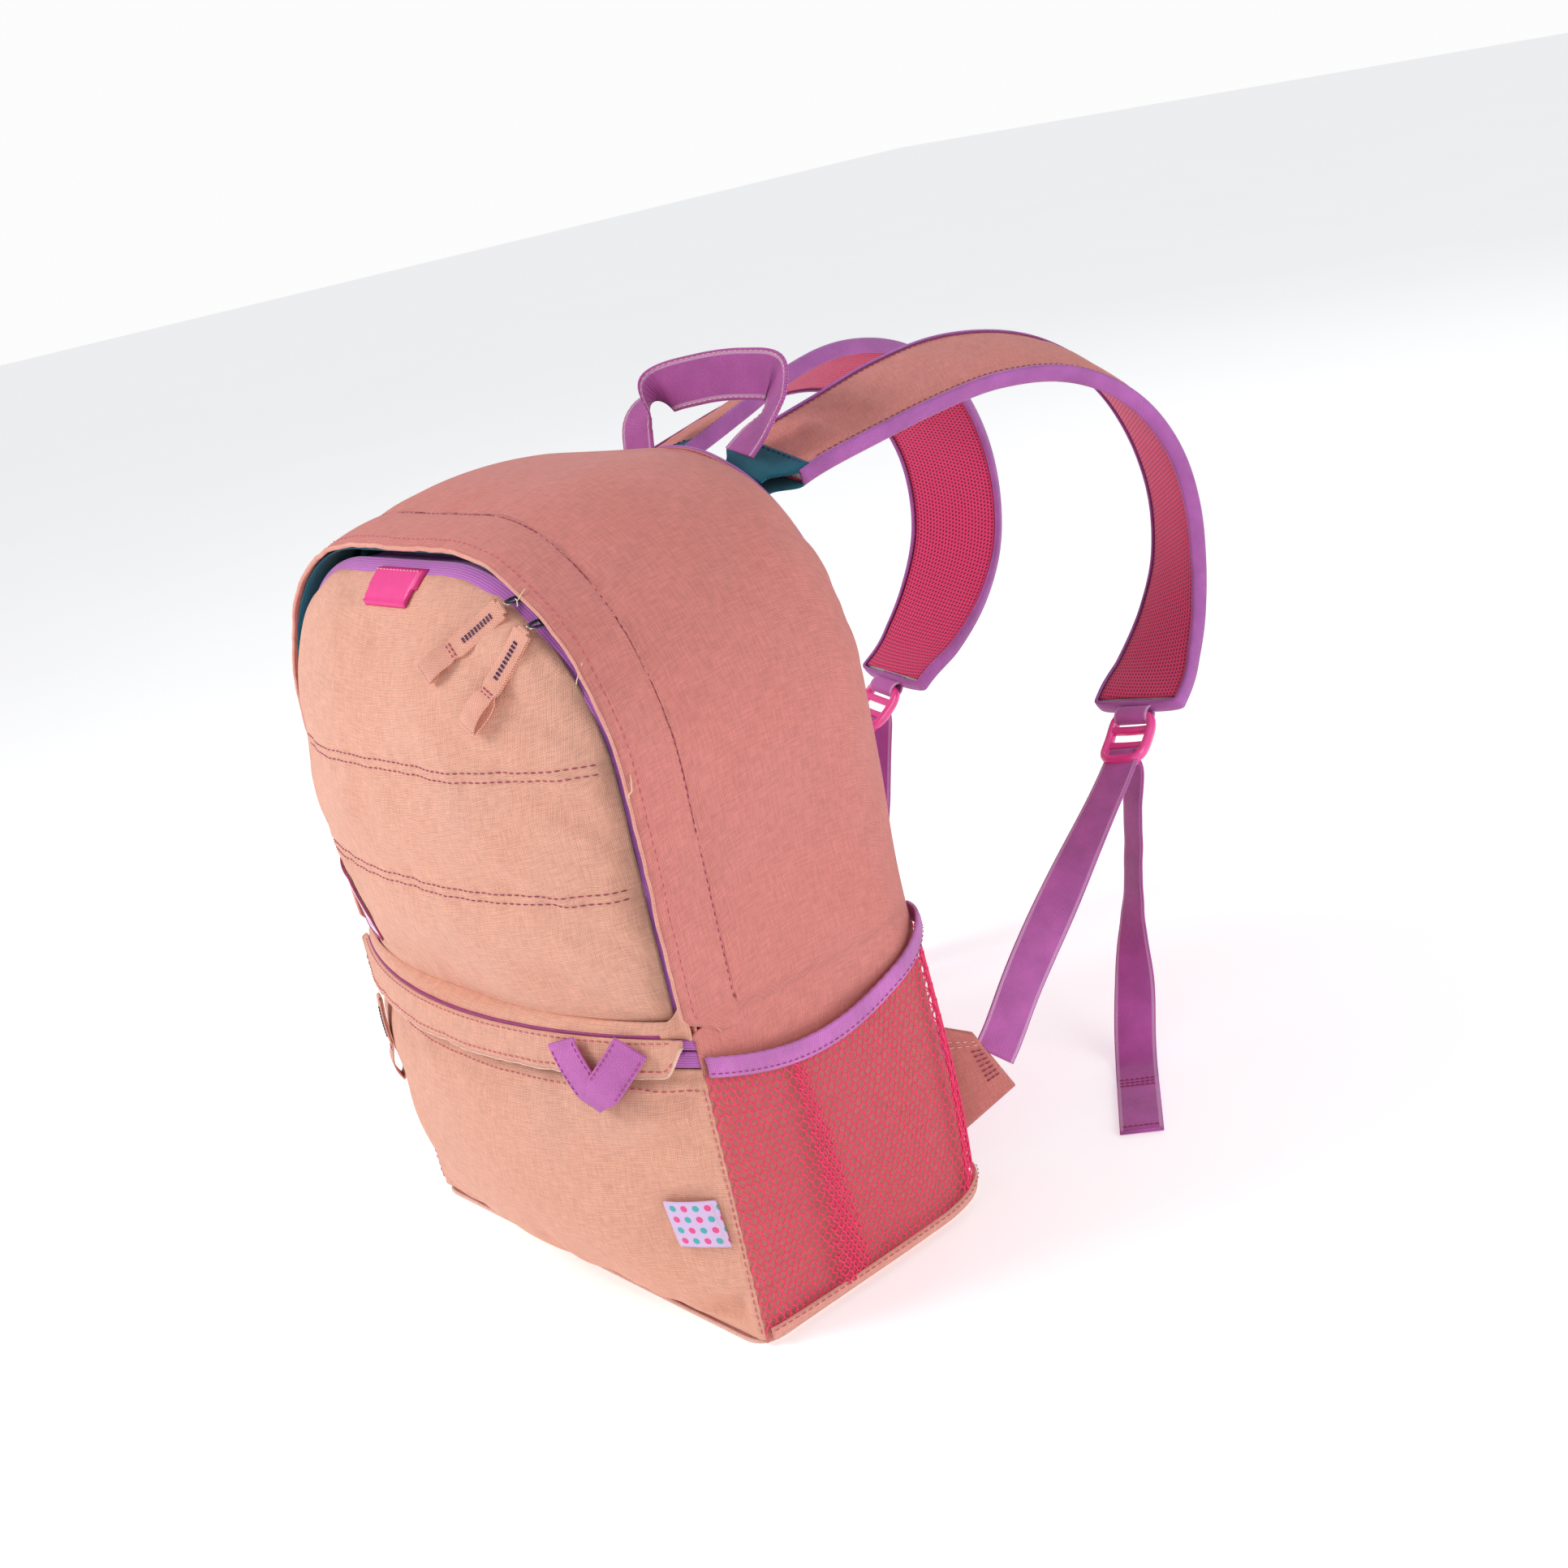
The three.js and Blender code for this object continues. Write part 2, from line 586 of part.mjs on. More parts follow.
const strapFrame = (i, side) =>
  ribbonFrame(STRAP_LINE, STRAP_EDGE, lerp(STRAP_START, 1, i / STRAP_STEPS), side);

function strapSheet(side, halfWidth, low, high) {
  const point = (u, v, face) => {
    const f = strapFrame(u * STRAP_STEPS, side);
    const p = f.origin.addScaledVector(f.a, (2 * v - 1) * halfWidth);
    return p.addScaledVector(f.b, face ? high : low);
  };
  return sheet(point, STRAP_STEPS, 2);
}

// The binding runs down the outer edge, round the buckle end and back up the inner edge.
function strapBinding(side) {
  const reach = STRAP_HALF_WIDTH + 0.4;
  const edge = (i, s) => {
    const f = strapFrame(i, side);
    return { origin: f.origin.addScaledVector(f.a, s * reach), a: f.a.multiplyScalar(s), b: f.b };
  };
  const along = STRAP_LINE.getTangent(1);
  along.x *= side;
  const corner = (s) => {
    const f = edge(STRAP_STEPS, s);
    return { origin: f.origin.addScaledVector(along, 0.4), a: f.a.add(along), b: f.b };
  };
  const steps = Array.from({ length: STRAP_STEPS }, (_, i) => i);
  const outer = steps.map((i) => edge(i, 1));
  const inner = steps.map((i) => edge(i, -1)).reverse();
  return sweep(box(0, 2.4, -4.6, 4.6), [...outer, corner(1), corner(-1), ...inner]);
}

function strapRoot(side) {
  const point = (u, v, face) => {
    const f = ribbonFrame(STRAP_LINE, STRAP_EDGE, lerp(0.006, 0.0345, u), side);
    const p = f.origin.addScaledVector(f.a, (2 * v - 1) * ROOT_HALF_WIDTH);
    return p.addScaledVector(f.b, face ? 2.5 : -2.5);
  };
  return sheet(point, 2, 1);
}

// The buckle hangs just past the strap's end, in line with it.
const STRAP_END = STRAP_LINE.getPoint(1);
const LOCK_DIRECTION = vec(6, -28, -22).normalize();
const LOCK_END = STRAP_END.clone().addScaledVector(LOCK_DIRECTION, LOCK_GAP + LOCK_LENGTH);
const WEBBING_POINTS = [
  LOCK_END.clone().addScaledVector(LOCK_DIRECTION, 2),
  vec(121, 215, 133), vec(127, 158, 92), vec(131, 127, 69),
];

function lockPlacement(side) {
  const f = ribbonFrame(STRAP_LINE, STRAP_EDGE, 1, side);
  const along = LOCK_DIRECTION.clone();
  const origin = STRAP_END.clone().addScaledVector(along, LOCK_GAP);
  for (const v of [along, origin]) v.x *= side;
  const across = f.a.clone().addScaledVector(along, -f.a.dot(along)).normalize();
  const face = across.clone().cross(along).multiplyScalar(-side).normalize();
  return { origin, along, face };
}

function ladderLock(side, name) {
  const shape = new THREE.Shape();
  const near = LOCK_HALF_WIDTH;
  const far = LOCK_HALF_WIDTH - LOCK_TAPER;
  const round = LOCK_CORNER;
  shape.moveTo(-near + round, 0);
  shape.lineTo(near - round, 0);
  shape.quadraticCurveTo(near, 0, near, round);
  shape.lineTo(far, LOCK_LENGTH - round);
  shape.quadraticCurveTo(far, LOCK_LENGTH, far - round, LOCK_LENGTH);
  shape.lineTo(-far + round, LOCK_LENGTH);
  shape.quadraticCurveTo(-far, LOCK_LENGTH, -far, LOCK_LENGTH - round);
  shape.lineTo(-near, round);
  shape.quadraticCurveTo(-near, 0, -near + round, 0);
  for (const [from, to] of LOCK_SLOTS) {
    const slot = new THREE.Path();
    slot.moveTo(-LOCK_SLOT_HALF_WIDTH, from);
    slot.lineTo(-LOCK_SLOT_HALF_WIDTH, to);
    slot.lineTo(LOCK_SLOT_HALF_WIDTH, to);
    slot.lineTo(LOCK_SLOT_HALF_WIDTH, from);
    slot.closePath();
    shape.holes.push(slot);
  }
  const extrusion = { depth: LOCK_THICKNESS, bevelEnabled: false, curveSegments: 3 };
  const geometry = new THREE.ExtrudeGeometry(shape, extrusion);
  geometry.translate(0, 0, -LOCK_THICKNESS / 2);
  const { origin, along, face } = lockPlacement(side);
  const mesh = part(name, geometry, PINK_PLASTIC);
  const xAxis = along.clone().cross(face);
  mesh.quaternion.setFromRotationMatrix(new THREE.Matrix4().makeBasis(xAxis, along, face));
  mesh.position.copy(origin);
  return mesh;
}

function ribbon(points, across, halfWidth, thickness, steps) {
  const line = new THREE.CatmullRomCurve3(points);
  const point = (u, v, face) => {
    const along = line.getTangentAt(u);
    const a = across(u);
    a.addScaledVector(along, -a.dot(along)).normalize();
    const b = a.clone().cross(along).normalize();
    const p = line.getPointAt(u).addScaledVector(a, (2 * v - 1) * halfWidth);
    return p.addScaledVector(b, (face - 0.5) * thickness);
  };
  return sheet(point, steps, 1);
}

const flip = (side) => (p) => vec(p.x * side, p.y, p.z);

function strapWebbing(side, name) {
  const across = (u) => vec(side * lerp(0.87, 0.5, u), lerp(-0.4, 0.75, u), lerp(-0.25, 0.1, u));
  const points = WEBBING_POINTS.map(flip(side));
  return part(name, ribbon(points, across, WEBBING_HALF_WIDTH, WEBBING, 8), PURPLE);
}

// The loose end hangs from the buckle to the floor, and its last third lies on the floor.
const TAIL_POINTS = [
  [114, 291, 172], [114, 284, 148], [115.5, 274, 110], [118, 263, 70], [120.5, 253, 36], [124, 244, 14],
  [131, 234, 3.2], [143, 220, 1.2], [165, 195, 1.2], [187, 170, 1.2],
];

function strapTail(side, name) {
  const across = (u) => {
    const turned = smooth((u - 0.25) / 0.4);
    return vec(side * lerp(0.87, 0.75, turned), lerp(-0.45, 0.66, turned), lerp(-0.1, 0, turned));
  };
  const points = TAIL_POINTS.map((p) => flip(side)(vec(...p)));
  return part(name, ribbon(points, across, WEBBING_HALF_WIDTH, WEBBING, 18), PURPLE);
}

function lowerAnchor(side, name) {
  // a folded triangle of fabric sewn into the back seam, its point on the webbing
  const root = [vec(111, 92.5, 12), vec(108, 92.5, 86)];
  const tip = [vec(137, 126, 38), vec(122, 112, 74)];
  const point = (u, v, face) => {
    const low = root[0].clone().lerp(tip[0], u);
    const high = root[1].clone().lerp(tip[1], u);
    const p = low.lerp(high, v).add(vec(0, face * 1.8, 0));
    return flip(side)(p);
  };
  return part(name, sheet(point, 3, 3), SALMON);
}

function topHandle() {
  const points = [
    [-42, 96, 414], [-42, 100, 430], [-32, 109, 444], [-5, 120, 449], [25, 128, 449],
    [46, 131, 445], [52, 122, 433], [49, 107, 421], [46, 97, 413],
  ].map((p) => vec(...p));
  const across = (u) => {
    const standing = Math.sin(Math.PI * clamp01(u)) ** 1.5;
    return vec(1 - standing, 0.25 * standing, standing);
  };
  return part('top_handle', ribbon(points, across, HANDLE_HALF_WIDTH, WEBBING, 22), PURPLE);
}

// ---- zip sliders and their webbing pulls ----
const TRACK_RADIUS = SHOULDER_RADIUS - ZIP_INSET;

function arcPlace(angle, radius, y) {
  return vec(ARC_X + radius * Math.cos(angle * DEG), y, ARC_Z + radius * Math.sin(angle * DEG));
}

function boxOn(name, size, origin, zAxis, xAxis, material) {
  const mesh = part(name, new THREE.BoxGeometry(...size), material);
  const yAxis = zAxis.clone().cross(xAxis);
  mesh.quaternion.setFromRotationMatrix(new THREE.Matrix4().makeBasis(xAxis, yAxis, zAxis));
  mesh.position.copy(origin);
  return mesh;
}

function mainSlider(which) {
  const angle = SLIDER_ANGLES[which];
  const out = vec(Math.cos(angle * DEG), 0, Math.sin(angle * DEG));
  const along = vec(-out.z, 0, out.x);
  const group = new THREE.Group();
  const body = arcPlace(angle, TRACK_RADIUS + COIL + 1.4, -76);
  const tab = arcPlace(angle, TRACK_RADIUS + 2.7, -89.2);
  group.add(boxOn(`main_slider_${which}`, SLIDER_SIZE, body, out, along, METAL));
  group.add(boxOn(`main_puller_${which}`, PULLER_SIZE, tab, out, along, METAL));
  return group;
}

const PULL_DIRECTIONS = { right: vec(-0.42, -0.52, -0.75), left: vec(-0.72, -0.48, -0.5) };

function mainPull(which) {
  const start = arcPlace(SLIDER_ANGLES[which], TRACK_RADIUS + 1, PULL_START_Y);
  const down = PULL_DIRECTIONS[which].clone().normalize();
  const face = vec(-down.z, 0, down.x).cross(down).normalize();
  const across = down.clone().cross(face);
  const middle = start.clone().addScaledVector(down, PULL_LENGTH / 2);
  const size = [PULL_LENGTH, PULL_WIDTH, PULL_THICKNESS];
  return boxOn(`webbing_pull_${which}`, size, middle, face.negate(), down, PEACH);
}

function pocketSlider() {
  const angle = Math.asin(POCKET_SLIDER_X / POCKET_RADIUS);
  const out = vec(Math.sin(angle), -Math.cos(angle), 0);
  const along = vec(-out.y, out.x, 0);
  const at = (radius, z) => vec(0, POCKET_CENTRE_Y, z).addScaledVector(out, POCKET_RADIUS + radius);
  const group = new THREE.Group();
  const pullSize = [PULL_WIDTH, POCKET_PULL_LENGTH, PULL_THICKNESS];
  group.add(boxOn('pocket_slider', POCKET_SLIDER_SIZE, at(2, 167), out, along, METAL));
  group.add(boxOn('pocket_puller', POCKET_PULLER_SIZE, at(4.3, 160.5), out, along, METAL));
  group.add(boxOn('pocket_webbing_pull', pullSize, at(9.6, 123.5), out, along, PEACH));
  return group;
}

// ---- the whole bag ----
const bag = new THREE.Group();
bag.add(
  gusset(), interiorLining(), stormFlapLining(), bottomPanel(), baseBoard(), bottomPiping(),
  backPanel(), backFoam(), backMesh(), backSeamBinding(),
  mainZip('main_zip_outer_tape', -72.5, FLAP_ROOT_Y - 1, 1),
  pocketTape('pocket_zip_upper_tape', 168.2, 174.3),
  pocketTape('pocket_zip_lower_tape', 159, 167.8),
  frontPocket(), pocketBackWall(), sideLabel(),
);

const frontPanel = new THREE.Group();
frontPanel.add(
  frontUpperPanel(), frontPanelLining(),
  mainZip('main_zip_inner_tape', FRONT_Y + 2.5, -78.3, 1),
  mainZip('main_zip_coil', -78, -73, COIL),
  onPanel('badge', -22, 24, 387, 403, 2, PINK_RUBBER),
  onPanel('embroidered_patch', -118, -82, 196, 236, 1, WHITE_FABRIC),
);
bag.add(frontPanel);

const pocketFlapGroup = new THREE.Group();
pocketFlapGroup.add(pocketFlap(), gearLoop());
bag.add(pocketFlapGroup, topHandle(), pocketSlider());

for (const which of ['right', 'left']) {
  bag.add(mainSlider(which), mainPull(which));
}

for (const [which, side] of [['right', 1], ['left', -1]]) {
  const strap = new THREE.Group();
  strap.add(
    part(`strap_top_fabric_${which}`, strapSheet(side, STRAP_HALF_WIDTH, 3.1, 4.4), PEACH),
    part(`strap_foam_${which}`, strapSheet(side, STRAP_HALF_WIDTH - 1, -2.6, 2.7), FOAM),
    part(`strap_mesh_${which}`, strapSheet(side, STRAP_HALF_WIDTH, -4.4, -3), PINK_MESH),
    part(`strap_binding_${which}`, strapBinding(side), PURPLE),
    strapWebbing(side, `strap_webbing_${which}`),
    ladderLock(side, `ladder_lock_${which}`),
    strapTail(side, `strap_tail_${which}`),
  );
  bag.add(
    strap,
    part(`strap_root_${which}`, strapRoot(side), TEAL),
    lowerAnchor(side, `lower_anchor_${which}`),
    meshPocket(side, `mesh_pocket_${which}`),
    elasticBinding(side, `elastic_binding_${which}`),
  );
}

export default bag;
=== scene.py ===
"""The looks of a school backpack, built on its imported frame.

Shapes are worked out in millimetres, in the frame of the CAD part, and become metres when a mesh is made.
A surface is a numpy grid of points [u, v, xyz]. Texture coordinates are metres of cloth.
"""

import math

import bmesh
import bpy
import numpy as np
from mathutils import Matrix, Vector


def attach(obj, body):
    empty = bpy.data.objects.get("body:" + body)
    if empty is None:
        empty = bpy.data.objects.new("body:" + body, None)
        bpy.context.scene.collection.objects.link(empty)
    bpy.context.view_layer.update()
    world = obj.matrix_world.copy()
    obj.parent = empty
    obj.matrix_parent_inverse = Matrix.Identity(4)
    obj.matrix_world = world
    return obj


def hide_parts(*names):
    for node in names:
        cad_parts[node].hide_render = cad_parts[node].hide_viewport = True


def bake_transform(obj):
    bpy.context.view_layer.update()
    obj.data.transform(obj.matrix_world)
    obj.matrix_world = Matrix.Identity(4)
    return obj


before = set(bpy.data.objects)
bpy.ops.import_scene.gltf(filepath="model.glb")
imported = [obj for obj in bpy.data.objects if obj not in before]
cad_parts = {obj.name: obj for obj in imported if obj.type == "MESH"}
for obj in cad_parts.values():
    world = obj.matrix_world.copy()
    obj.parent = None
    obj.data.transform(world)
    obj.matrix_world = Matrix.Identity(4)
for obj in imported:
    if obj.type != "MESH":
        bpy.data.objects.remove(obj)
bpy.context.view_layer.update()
MM = 0.001
FORWARD = np.array([0, -1.0, 0])
BACKWARD = np.array([0, 1.0, 0])
DOWNWARD = np.array([0, 0, -1.0])

# ---- driving dimensions, as in the CAD part ----
HALF_WIDTH = 154
TOP_Z = 415
SHOULDER_RADIUS = 112
ARC_X = HALF_WIDTH - SHOULDER_RADIUS
ARC_Z = TOP_Z - SHOULDER_RADIUS
FRONT_Y = -88
BACK_Y = 88
TURN_Y = 36
FLAP_EDGE_Y = -93
FLAP_ROOT_Y = -60
BACK_HALF_WIDTH = 102
BACK_ARCH_Z = 290
BACK_ARCH_RISE = 130
BOTTOM_FLARE = 16
WAIST = 7
TOP_PUFF = 14
SIDE_FOOT_Z = 2.6
FABRIC = 1.5
ZIP_INSET = 11
ZIP_FOOT = 0.6
PANEL_FOOT_Z = 183
PANEL_BULGE = 44
PANEL_FOOT_BULGE = 31
POCKET_TOP_Z = 158
POCKET_FOOT_Z = 4
POCKET_HALF_WIDTH = 150
POCKET_RADIUS = 330.5
POCKET_CENTRE_Y = 206.5
STRAP_HALF_WIDTH = 29
STRAP_START = 0.062
WEBBING_HALF_WIDTH = 12.5
WEBBING = 1.6
LOCK_LENGTH = 36
LOCK_HALF_WIDTH = 17
LOCK_GAP = 8
PULL_LENGTH = 54
PULL_START_Y = -98.5
STITCH_ROWS = (314, 251)
ROW_PAIR = 4.5


# ---- small mathematics ----
def lerp(a, b, t):
    return a + (b - a) * t


def clamp01(t):
    return np.clip(t, 0.0, 1.0)


def smooth(t):
    t = clamp01(t)
    return t * t * (3 - 2 * t)


def ridge(distance, width):
    """1 on a line, falling smoothly to 0 at a couple of widths from it."""
    return np.exp(-((distance / width) ** 2))


def unit(v):
    return v / np.maximum(np.linalg.norm(v, axis=-1, keepdims=True), 1e-9)


def points(*xyz):
    return np.stack(np.broadcast_arrays(*[np.asarray(c, float) for c in xyz]), axis=-1)


def mirrored(p, side):
    return p * np.array([side, 1, 1])


def waves(s, seed, longest, count=5):
    """A smooth wandering value of about -1 to 1 along s, whose longest wave is given."""
    rng = np.random.default_rng(seed)
    total = np.zeros_like(np.asarray(s, float))
    for k in range(count):
        amount = 0.6**k
        total += amount * np.sin(2 * math.pi * s * (1.7**k) / longest + rng.uniform(0, 2 * math.pi))
    return total / 2


def spline(knots, t):
    """Points at t from 0 to 1 of the centripetal Catmull-Rom curve through the knots."""
    knots = np.asarray(knots, float)
    last = len(knots) - 1
    s = np.clip(np.asarray(t, float) * last, 0, last - 1e-9)
    i = s.astype(int)
    w = (s - i)[..., None]
    before = np.where((i > 0)[..., None], knots[np.maximum(i - 1, 0)], 2 * knots[i] - knots[i + 1])
    beyond = i + 2 > last
    after = np.where(beyond[..., None], 2 * knots[i + 1] - knots[i], knots[np.minimum(i + 2, last)])
    p0, p1, p2, p3 = before, knots[i], knots[i + 1], after

    def gap(a, b):
        return np.maximum(np.linalg.norm(b - a, axis=-1, keepdims=True) ** 0.5, 1e-4)

    d0, d1, d2 = gap(p0, p1), gap(p1, p2), gap(p2, p3)
    t1 = ((p1 - p0) / d0 - (p2 - p0) / (d0 + d1) + (p2 - p1) / d1) * d1
    t2 = ((p2 - p1) / d1 - (p3 - p1) / (d1 + d2) + (p3 - p2) / d2) * d1
    c2 = -3 * p1 + 3 * p2 - 2 * t1 - t2
    c3 = 2 * p1 - 2 * p2 + t1 + t2
    return p1 + w * t1 + w**2 * c2 + w**3 * c3


def arc_length(line):
    steps = np.linalg.norm(np.diff(line, axis=0), axis=1)
    return np.concatenate([[0], np.cumsum(steps)])


def evenly(line, pitch=None, count=None):
    """The same line with points at even distances."""
    s = arc_length(line)
    n = count or max(int(round(s[-1] / pitch)), 2)
    at = np.linspace(0, s[-1], n + 1)
    return np.stack([np.interp(at, s, line[:, k]) for k in range(3)], axis=1)


def normals(grid):
    du = np.gradient(grid, axis=0)
    dv = np.gradient(grid, axis=1)
    return unit(np.cross(du, dv))


def tangents(line):
    return unit(np.gradient(line, axis=0))


def loop_tangents(ring):
    return unit(np.roll(ring, -1, axis=0) - np.roll(ring, 1, axis=0))


def squared_off(value, power):
    """A sine or cosine whose circle is squared off by a power under 1."""
    return math.copysign(abs(value) ** power, value)


def finer(grid, times):
    """A grid with more points on the same smooth surface."""
    for axis in (0, 1):
        count = grid.shape[axis]
        knots = np.moveaxis(grid, axis, 0)
        t = np.linspace(0, 1, (count - 1) * times + 1)
        s = np.clip(t * (count - 1), 0, count - 1 - 1e-9)
        i = s.astype(int)
        w = (s - i)[:, None, None]
        p0, p1 = knots[np.maximum(i - 1, 0)], knots[i]
        p2, p3 = knots[i + 1], knots[np.minimum(i + 2, count - 1)]
        bend = 2 * p0 - 5 * p1 + 4 * p2 - p3
        twist = 3 * p1 - p0 - 3 * p2 + p3
        out = 0.5 * (2 * p1 + (p2 - p0) * w + bend * w**2 + twist * w**3)
        grid = np.moveaxis(out, 0, axis)
    return grid


# ---- meshes ----
FINE_STITCH = {"length": 2.2, "gap": 1.0, "radius": 0.25}


def mesh_object(name, co, faces, material, uvs=None):
    """faces: a list of arrays of corner indices. uvs: one pair for each corner of each face, in order."""
    mesh = bpy.data.meshes.new(name)
    mesh.from_pydata((np.asarray(co) * MM).tolist(), [], [f.tolist() for part in faces for f in part])
    if uvs is not None:
        layer = mesh.uv_layers.new(name="cloth")
        layer.data.foreach_set("uv", np.asarray(uvs, np.float32).ravel())
    mesh.polygons.foreach_set("use_smooth", np.ones(len(mesh.polygons), bool))
    mesh.materials.append(material)
    mesh.update()
    obj = bpy.data.objects.new(name, mesh)
    bpy.context.scene.collection.objects.link(obj)
    return obj


def grid_faces(rows, columns, offset=0, turned=False):
    i, j = np.meshgrid(np.arange(rows - 1), np.arange(columns - 1), indexing="ij")
    a = (i * columns + j).ravel() + offset
    quads = np.stack([a, a + columns, a + columns + 1, a + 1], axis=1)
    return quads[:, ::-1] if turned else quads


def cloth_uv(grid):
    along = np.linalg.norm(np.diff(grid, axis=0), axis=2)
    across = np.linalg.norm(np.diff(grid, axis=1), axis=2)
    u = np.concatenate([np.zeros((1, grid.shape[1])), np.cumsum(along, axis=0)])
    v = np.concatenate([np.zeros((grid.shape[0], 1)), np.cumsum(across, axis=1)], axis=1)
    u -= u.mean(axis=0, keepdims=True)
    v -= v[:, -1:] / 2
    return np.stack([u, v], axis=-1) * MM


def facing_out(grid, out):
    """The grid, turned over if its normals point against out."""
    return grid if (normals(grid) * out).sum() > 0 else grid[::-1]


def cloth(name, grid, material, thickness=FABRIC, out=None):
    """A closed sheet. Its outer face is the grid, facing out; its inner face lies one thickness under."""
    if out is not None:
        grid = facing_out(grid, out)
    n = normals(grid)
    rows, columns = grid.shape[:2]
    under = grid - n * thickness
    co = np.concatenate([grid.reshape(-1, 3), under.reshape(-1, 3)])
    half = rows * columns
    outer = grid_faces(rows, columns)
    inner = grid_faces(rows, columns, half, turned=True)
    index = np.arange(half).reshape(rows, columns)
    rim = np.concatenate([index[0, :], index[1:, -1], index[-1, -2::-1], index[-2:0:-1, 0]])
    following = np.roll(rim, -1)
    edge = np.stack([rim, following, following + half, rim + half], axis=1)
    uv = cloth_uv(grid).reshape(-1, 2)
    uv = np.concatenate([uv, uv])
    faces = [outer, inner, edge]
    return mesh_object(name, co, faces, material, uv[np.concatenate([f.ravel() for f in faces])])


def swept(name, line, section, across, out, material, loop=False, scale=None):
    """A section of [a, b] pairs carried along a line; a follows across and b follows out at each point."""
    section = np.asarray(section, float)
    size = np.ones(len(line)) if scale is None else scale
    corner = across[:, None] * section[None, :, :1] + out[:, None] * section[None, :, 1:]
    ring = line[:, None] + corner * size[:, None, None]
    n, m = len(line), len(section)
    co = ring.reshape(-1, 3)
    spans = n if loop else n - 1
    i, k = np.meshgrid(np.arange(spans), np.arange(m), indexing="ij")
    i, k = i.ravel(), k.ravel()
    following = (i + 1) % n
    side = (k + 1) % m
    quads = np.stack([i * m + k, following * m + k, following * m + side, i * m + side], axis=1)
    s = arc_length(np.concatenate([line, line[:1]])) * MM
    closed = np.concatenate([section, section[:1]])
    around = arc_length(closed) * MM
    around = around - around[-1] / 2
    if np.ptp(section[:, 0]) > 3 * np.ptp(section[:, 1]):
        around = closed[:, 0] * MM  # a flat band is measured straight across
    u = np.stack([s[i], s[i + 1], s[i + 1], s[i]], axis=1)
    v = np.stack([around[k], around[k], around[k + 1], around[k + 1]], axis=1)
    uvs = np.stack([u, v], axis=-1).reshape(-1, 2)
    faces = [quads]
    if not loop:
        caps = np.stack([np.arange(m)[::-1], np.arange(m) + (n - 1) * m])
        faces.append(caps)
        uvs = np.concatenate([uvs, np.tile(section * MM, (2, 1))])
    obj = mesh_object(name, co, faces, material, uvs)
    flip_if_inside_out(obj)
    return obj


def flip_if_inside_out(obj):
    bm = bmesh.new()
    bm.from_mesh(obj.data)
    bmesh.ops.recalc_face_normals(bm, faces=bm.faces)
    bm.to_mesh(obj.data)
    bm.free()


def oval(half_a, half_b, count=10):
    t = np.linspace(0, 2 * math.pi, count, endpoint=False)
    return np.stack([half_a * np.cos(t), half_b * np.sin(t)], axis=1)


def rounded_bar(half_a, half_b, radius=None, steps=3):
    """A flat bar's section with rounded edges."""
    r = min(half_a, half_b) if radius is None else radius
    corners = []
    for quarter in range(4):
        centre = np.array([(half_a - r) * (1, -1, -1, 1)[quarter], (half_b - r) * (1, 1, -1, -1)[quarter]])
        for k in range(steps + 1):
            t = math.pi / 2 * (quarter + k / steps)
            corners.append(centre + r * np.array([math.cos(t), math.sin(t)]))
    return np.array(corners)


def cord_along(name, line, out, radius, material, loop=False, flat=1.0, sides=8):
    across = unit(np.cross(tangents(line), out))
    return swept(name, line, oval(radius, radius * flat, sides), across, out, material, loop)


def stitches(line, out, length=3.0, gap=1.3, radius=0.34):
    """Thread stitches along a line, each a small spindle that dips into the cloth at both ends."""
    total = arc_length(line)[-1]
    count = max(int(total / (length + gap)), 1)
    dense = evenly(line, count=count * 8)
    at, known = np.linspace(0, 1, len(dense)), np.linspace(0, 1, len(out))
    dense_out = np.stack([np.interp(at, known, out[:, k]) for k in range(3)], axis=1)
    fraction = length / (length + gap)
    rings = []
    for s in np.linspace(0, 1, 5):
        at = (np.arange(count) + 0.5 + (s - 0.5) * fraction) * 8
        i = np.clip(at.astype(int), 0, len(dense) - 2)
        w = (at - i)[:, None]
        p = dense[i] * (1 - w) + dense[i + 1] * w
        n = unit(dense_out[i])
        t = unit(dense[i + 1] - dense[i])
        b = np.cross(t, n)
        lift = radius * (1.1 * math.sin(math.pi * s) - 0.5)
        thick = radius * (0.35 + 0.65 * math.sin(math.pi * s))
        turn = np.linspace(0, 2 * math.pi, 6, endpoint=False)
        spoke = b[:, None] * np.cos(turn)[None, :, None] + n[:, None] * np.sin(turn)[None, :, None]
        rings.append((p + n * lift)[:, None] + thick * spoke)
    co = np.stack(rings, axis=1)
    base = (np.arange(count) * 30)[:, None]
    quads = []
    for r in range(4):
        for k in range(6):
            l = (k + 1) % 6
            quads.append(base + np.array([r * 6 + k, r * 6 + l, r * 6 + 6 + l, r * 6 + 6 + k]))
    caps = [base + np.arange(6)[::-1], base + 24 + np.arange(6)]
    return co.reshape(-1, 3), [np.concatenate(quads), np.concatenate(caps)]


def stitched(name, runs, material, **size):
    """One object of several runs of stitches, each run a line and its outward directions."""
    all_co, all_faces, offset = [], [], 0
    for line, out in runs:
        co, faces = stitches(line, out, **size)
        all_co.append(co)
        all_faces += [f + offset for f in faces]
        offset += len(co)
    obj = mesh_object(name, np.concatenate(all_co), all_faces, material)
    return obj


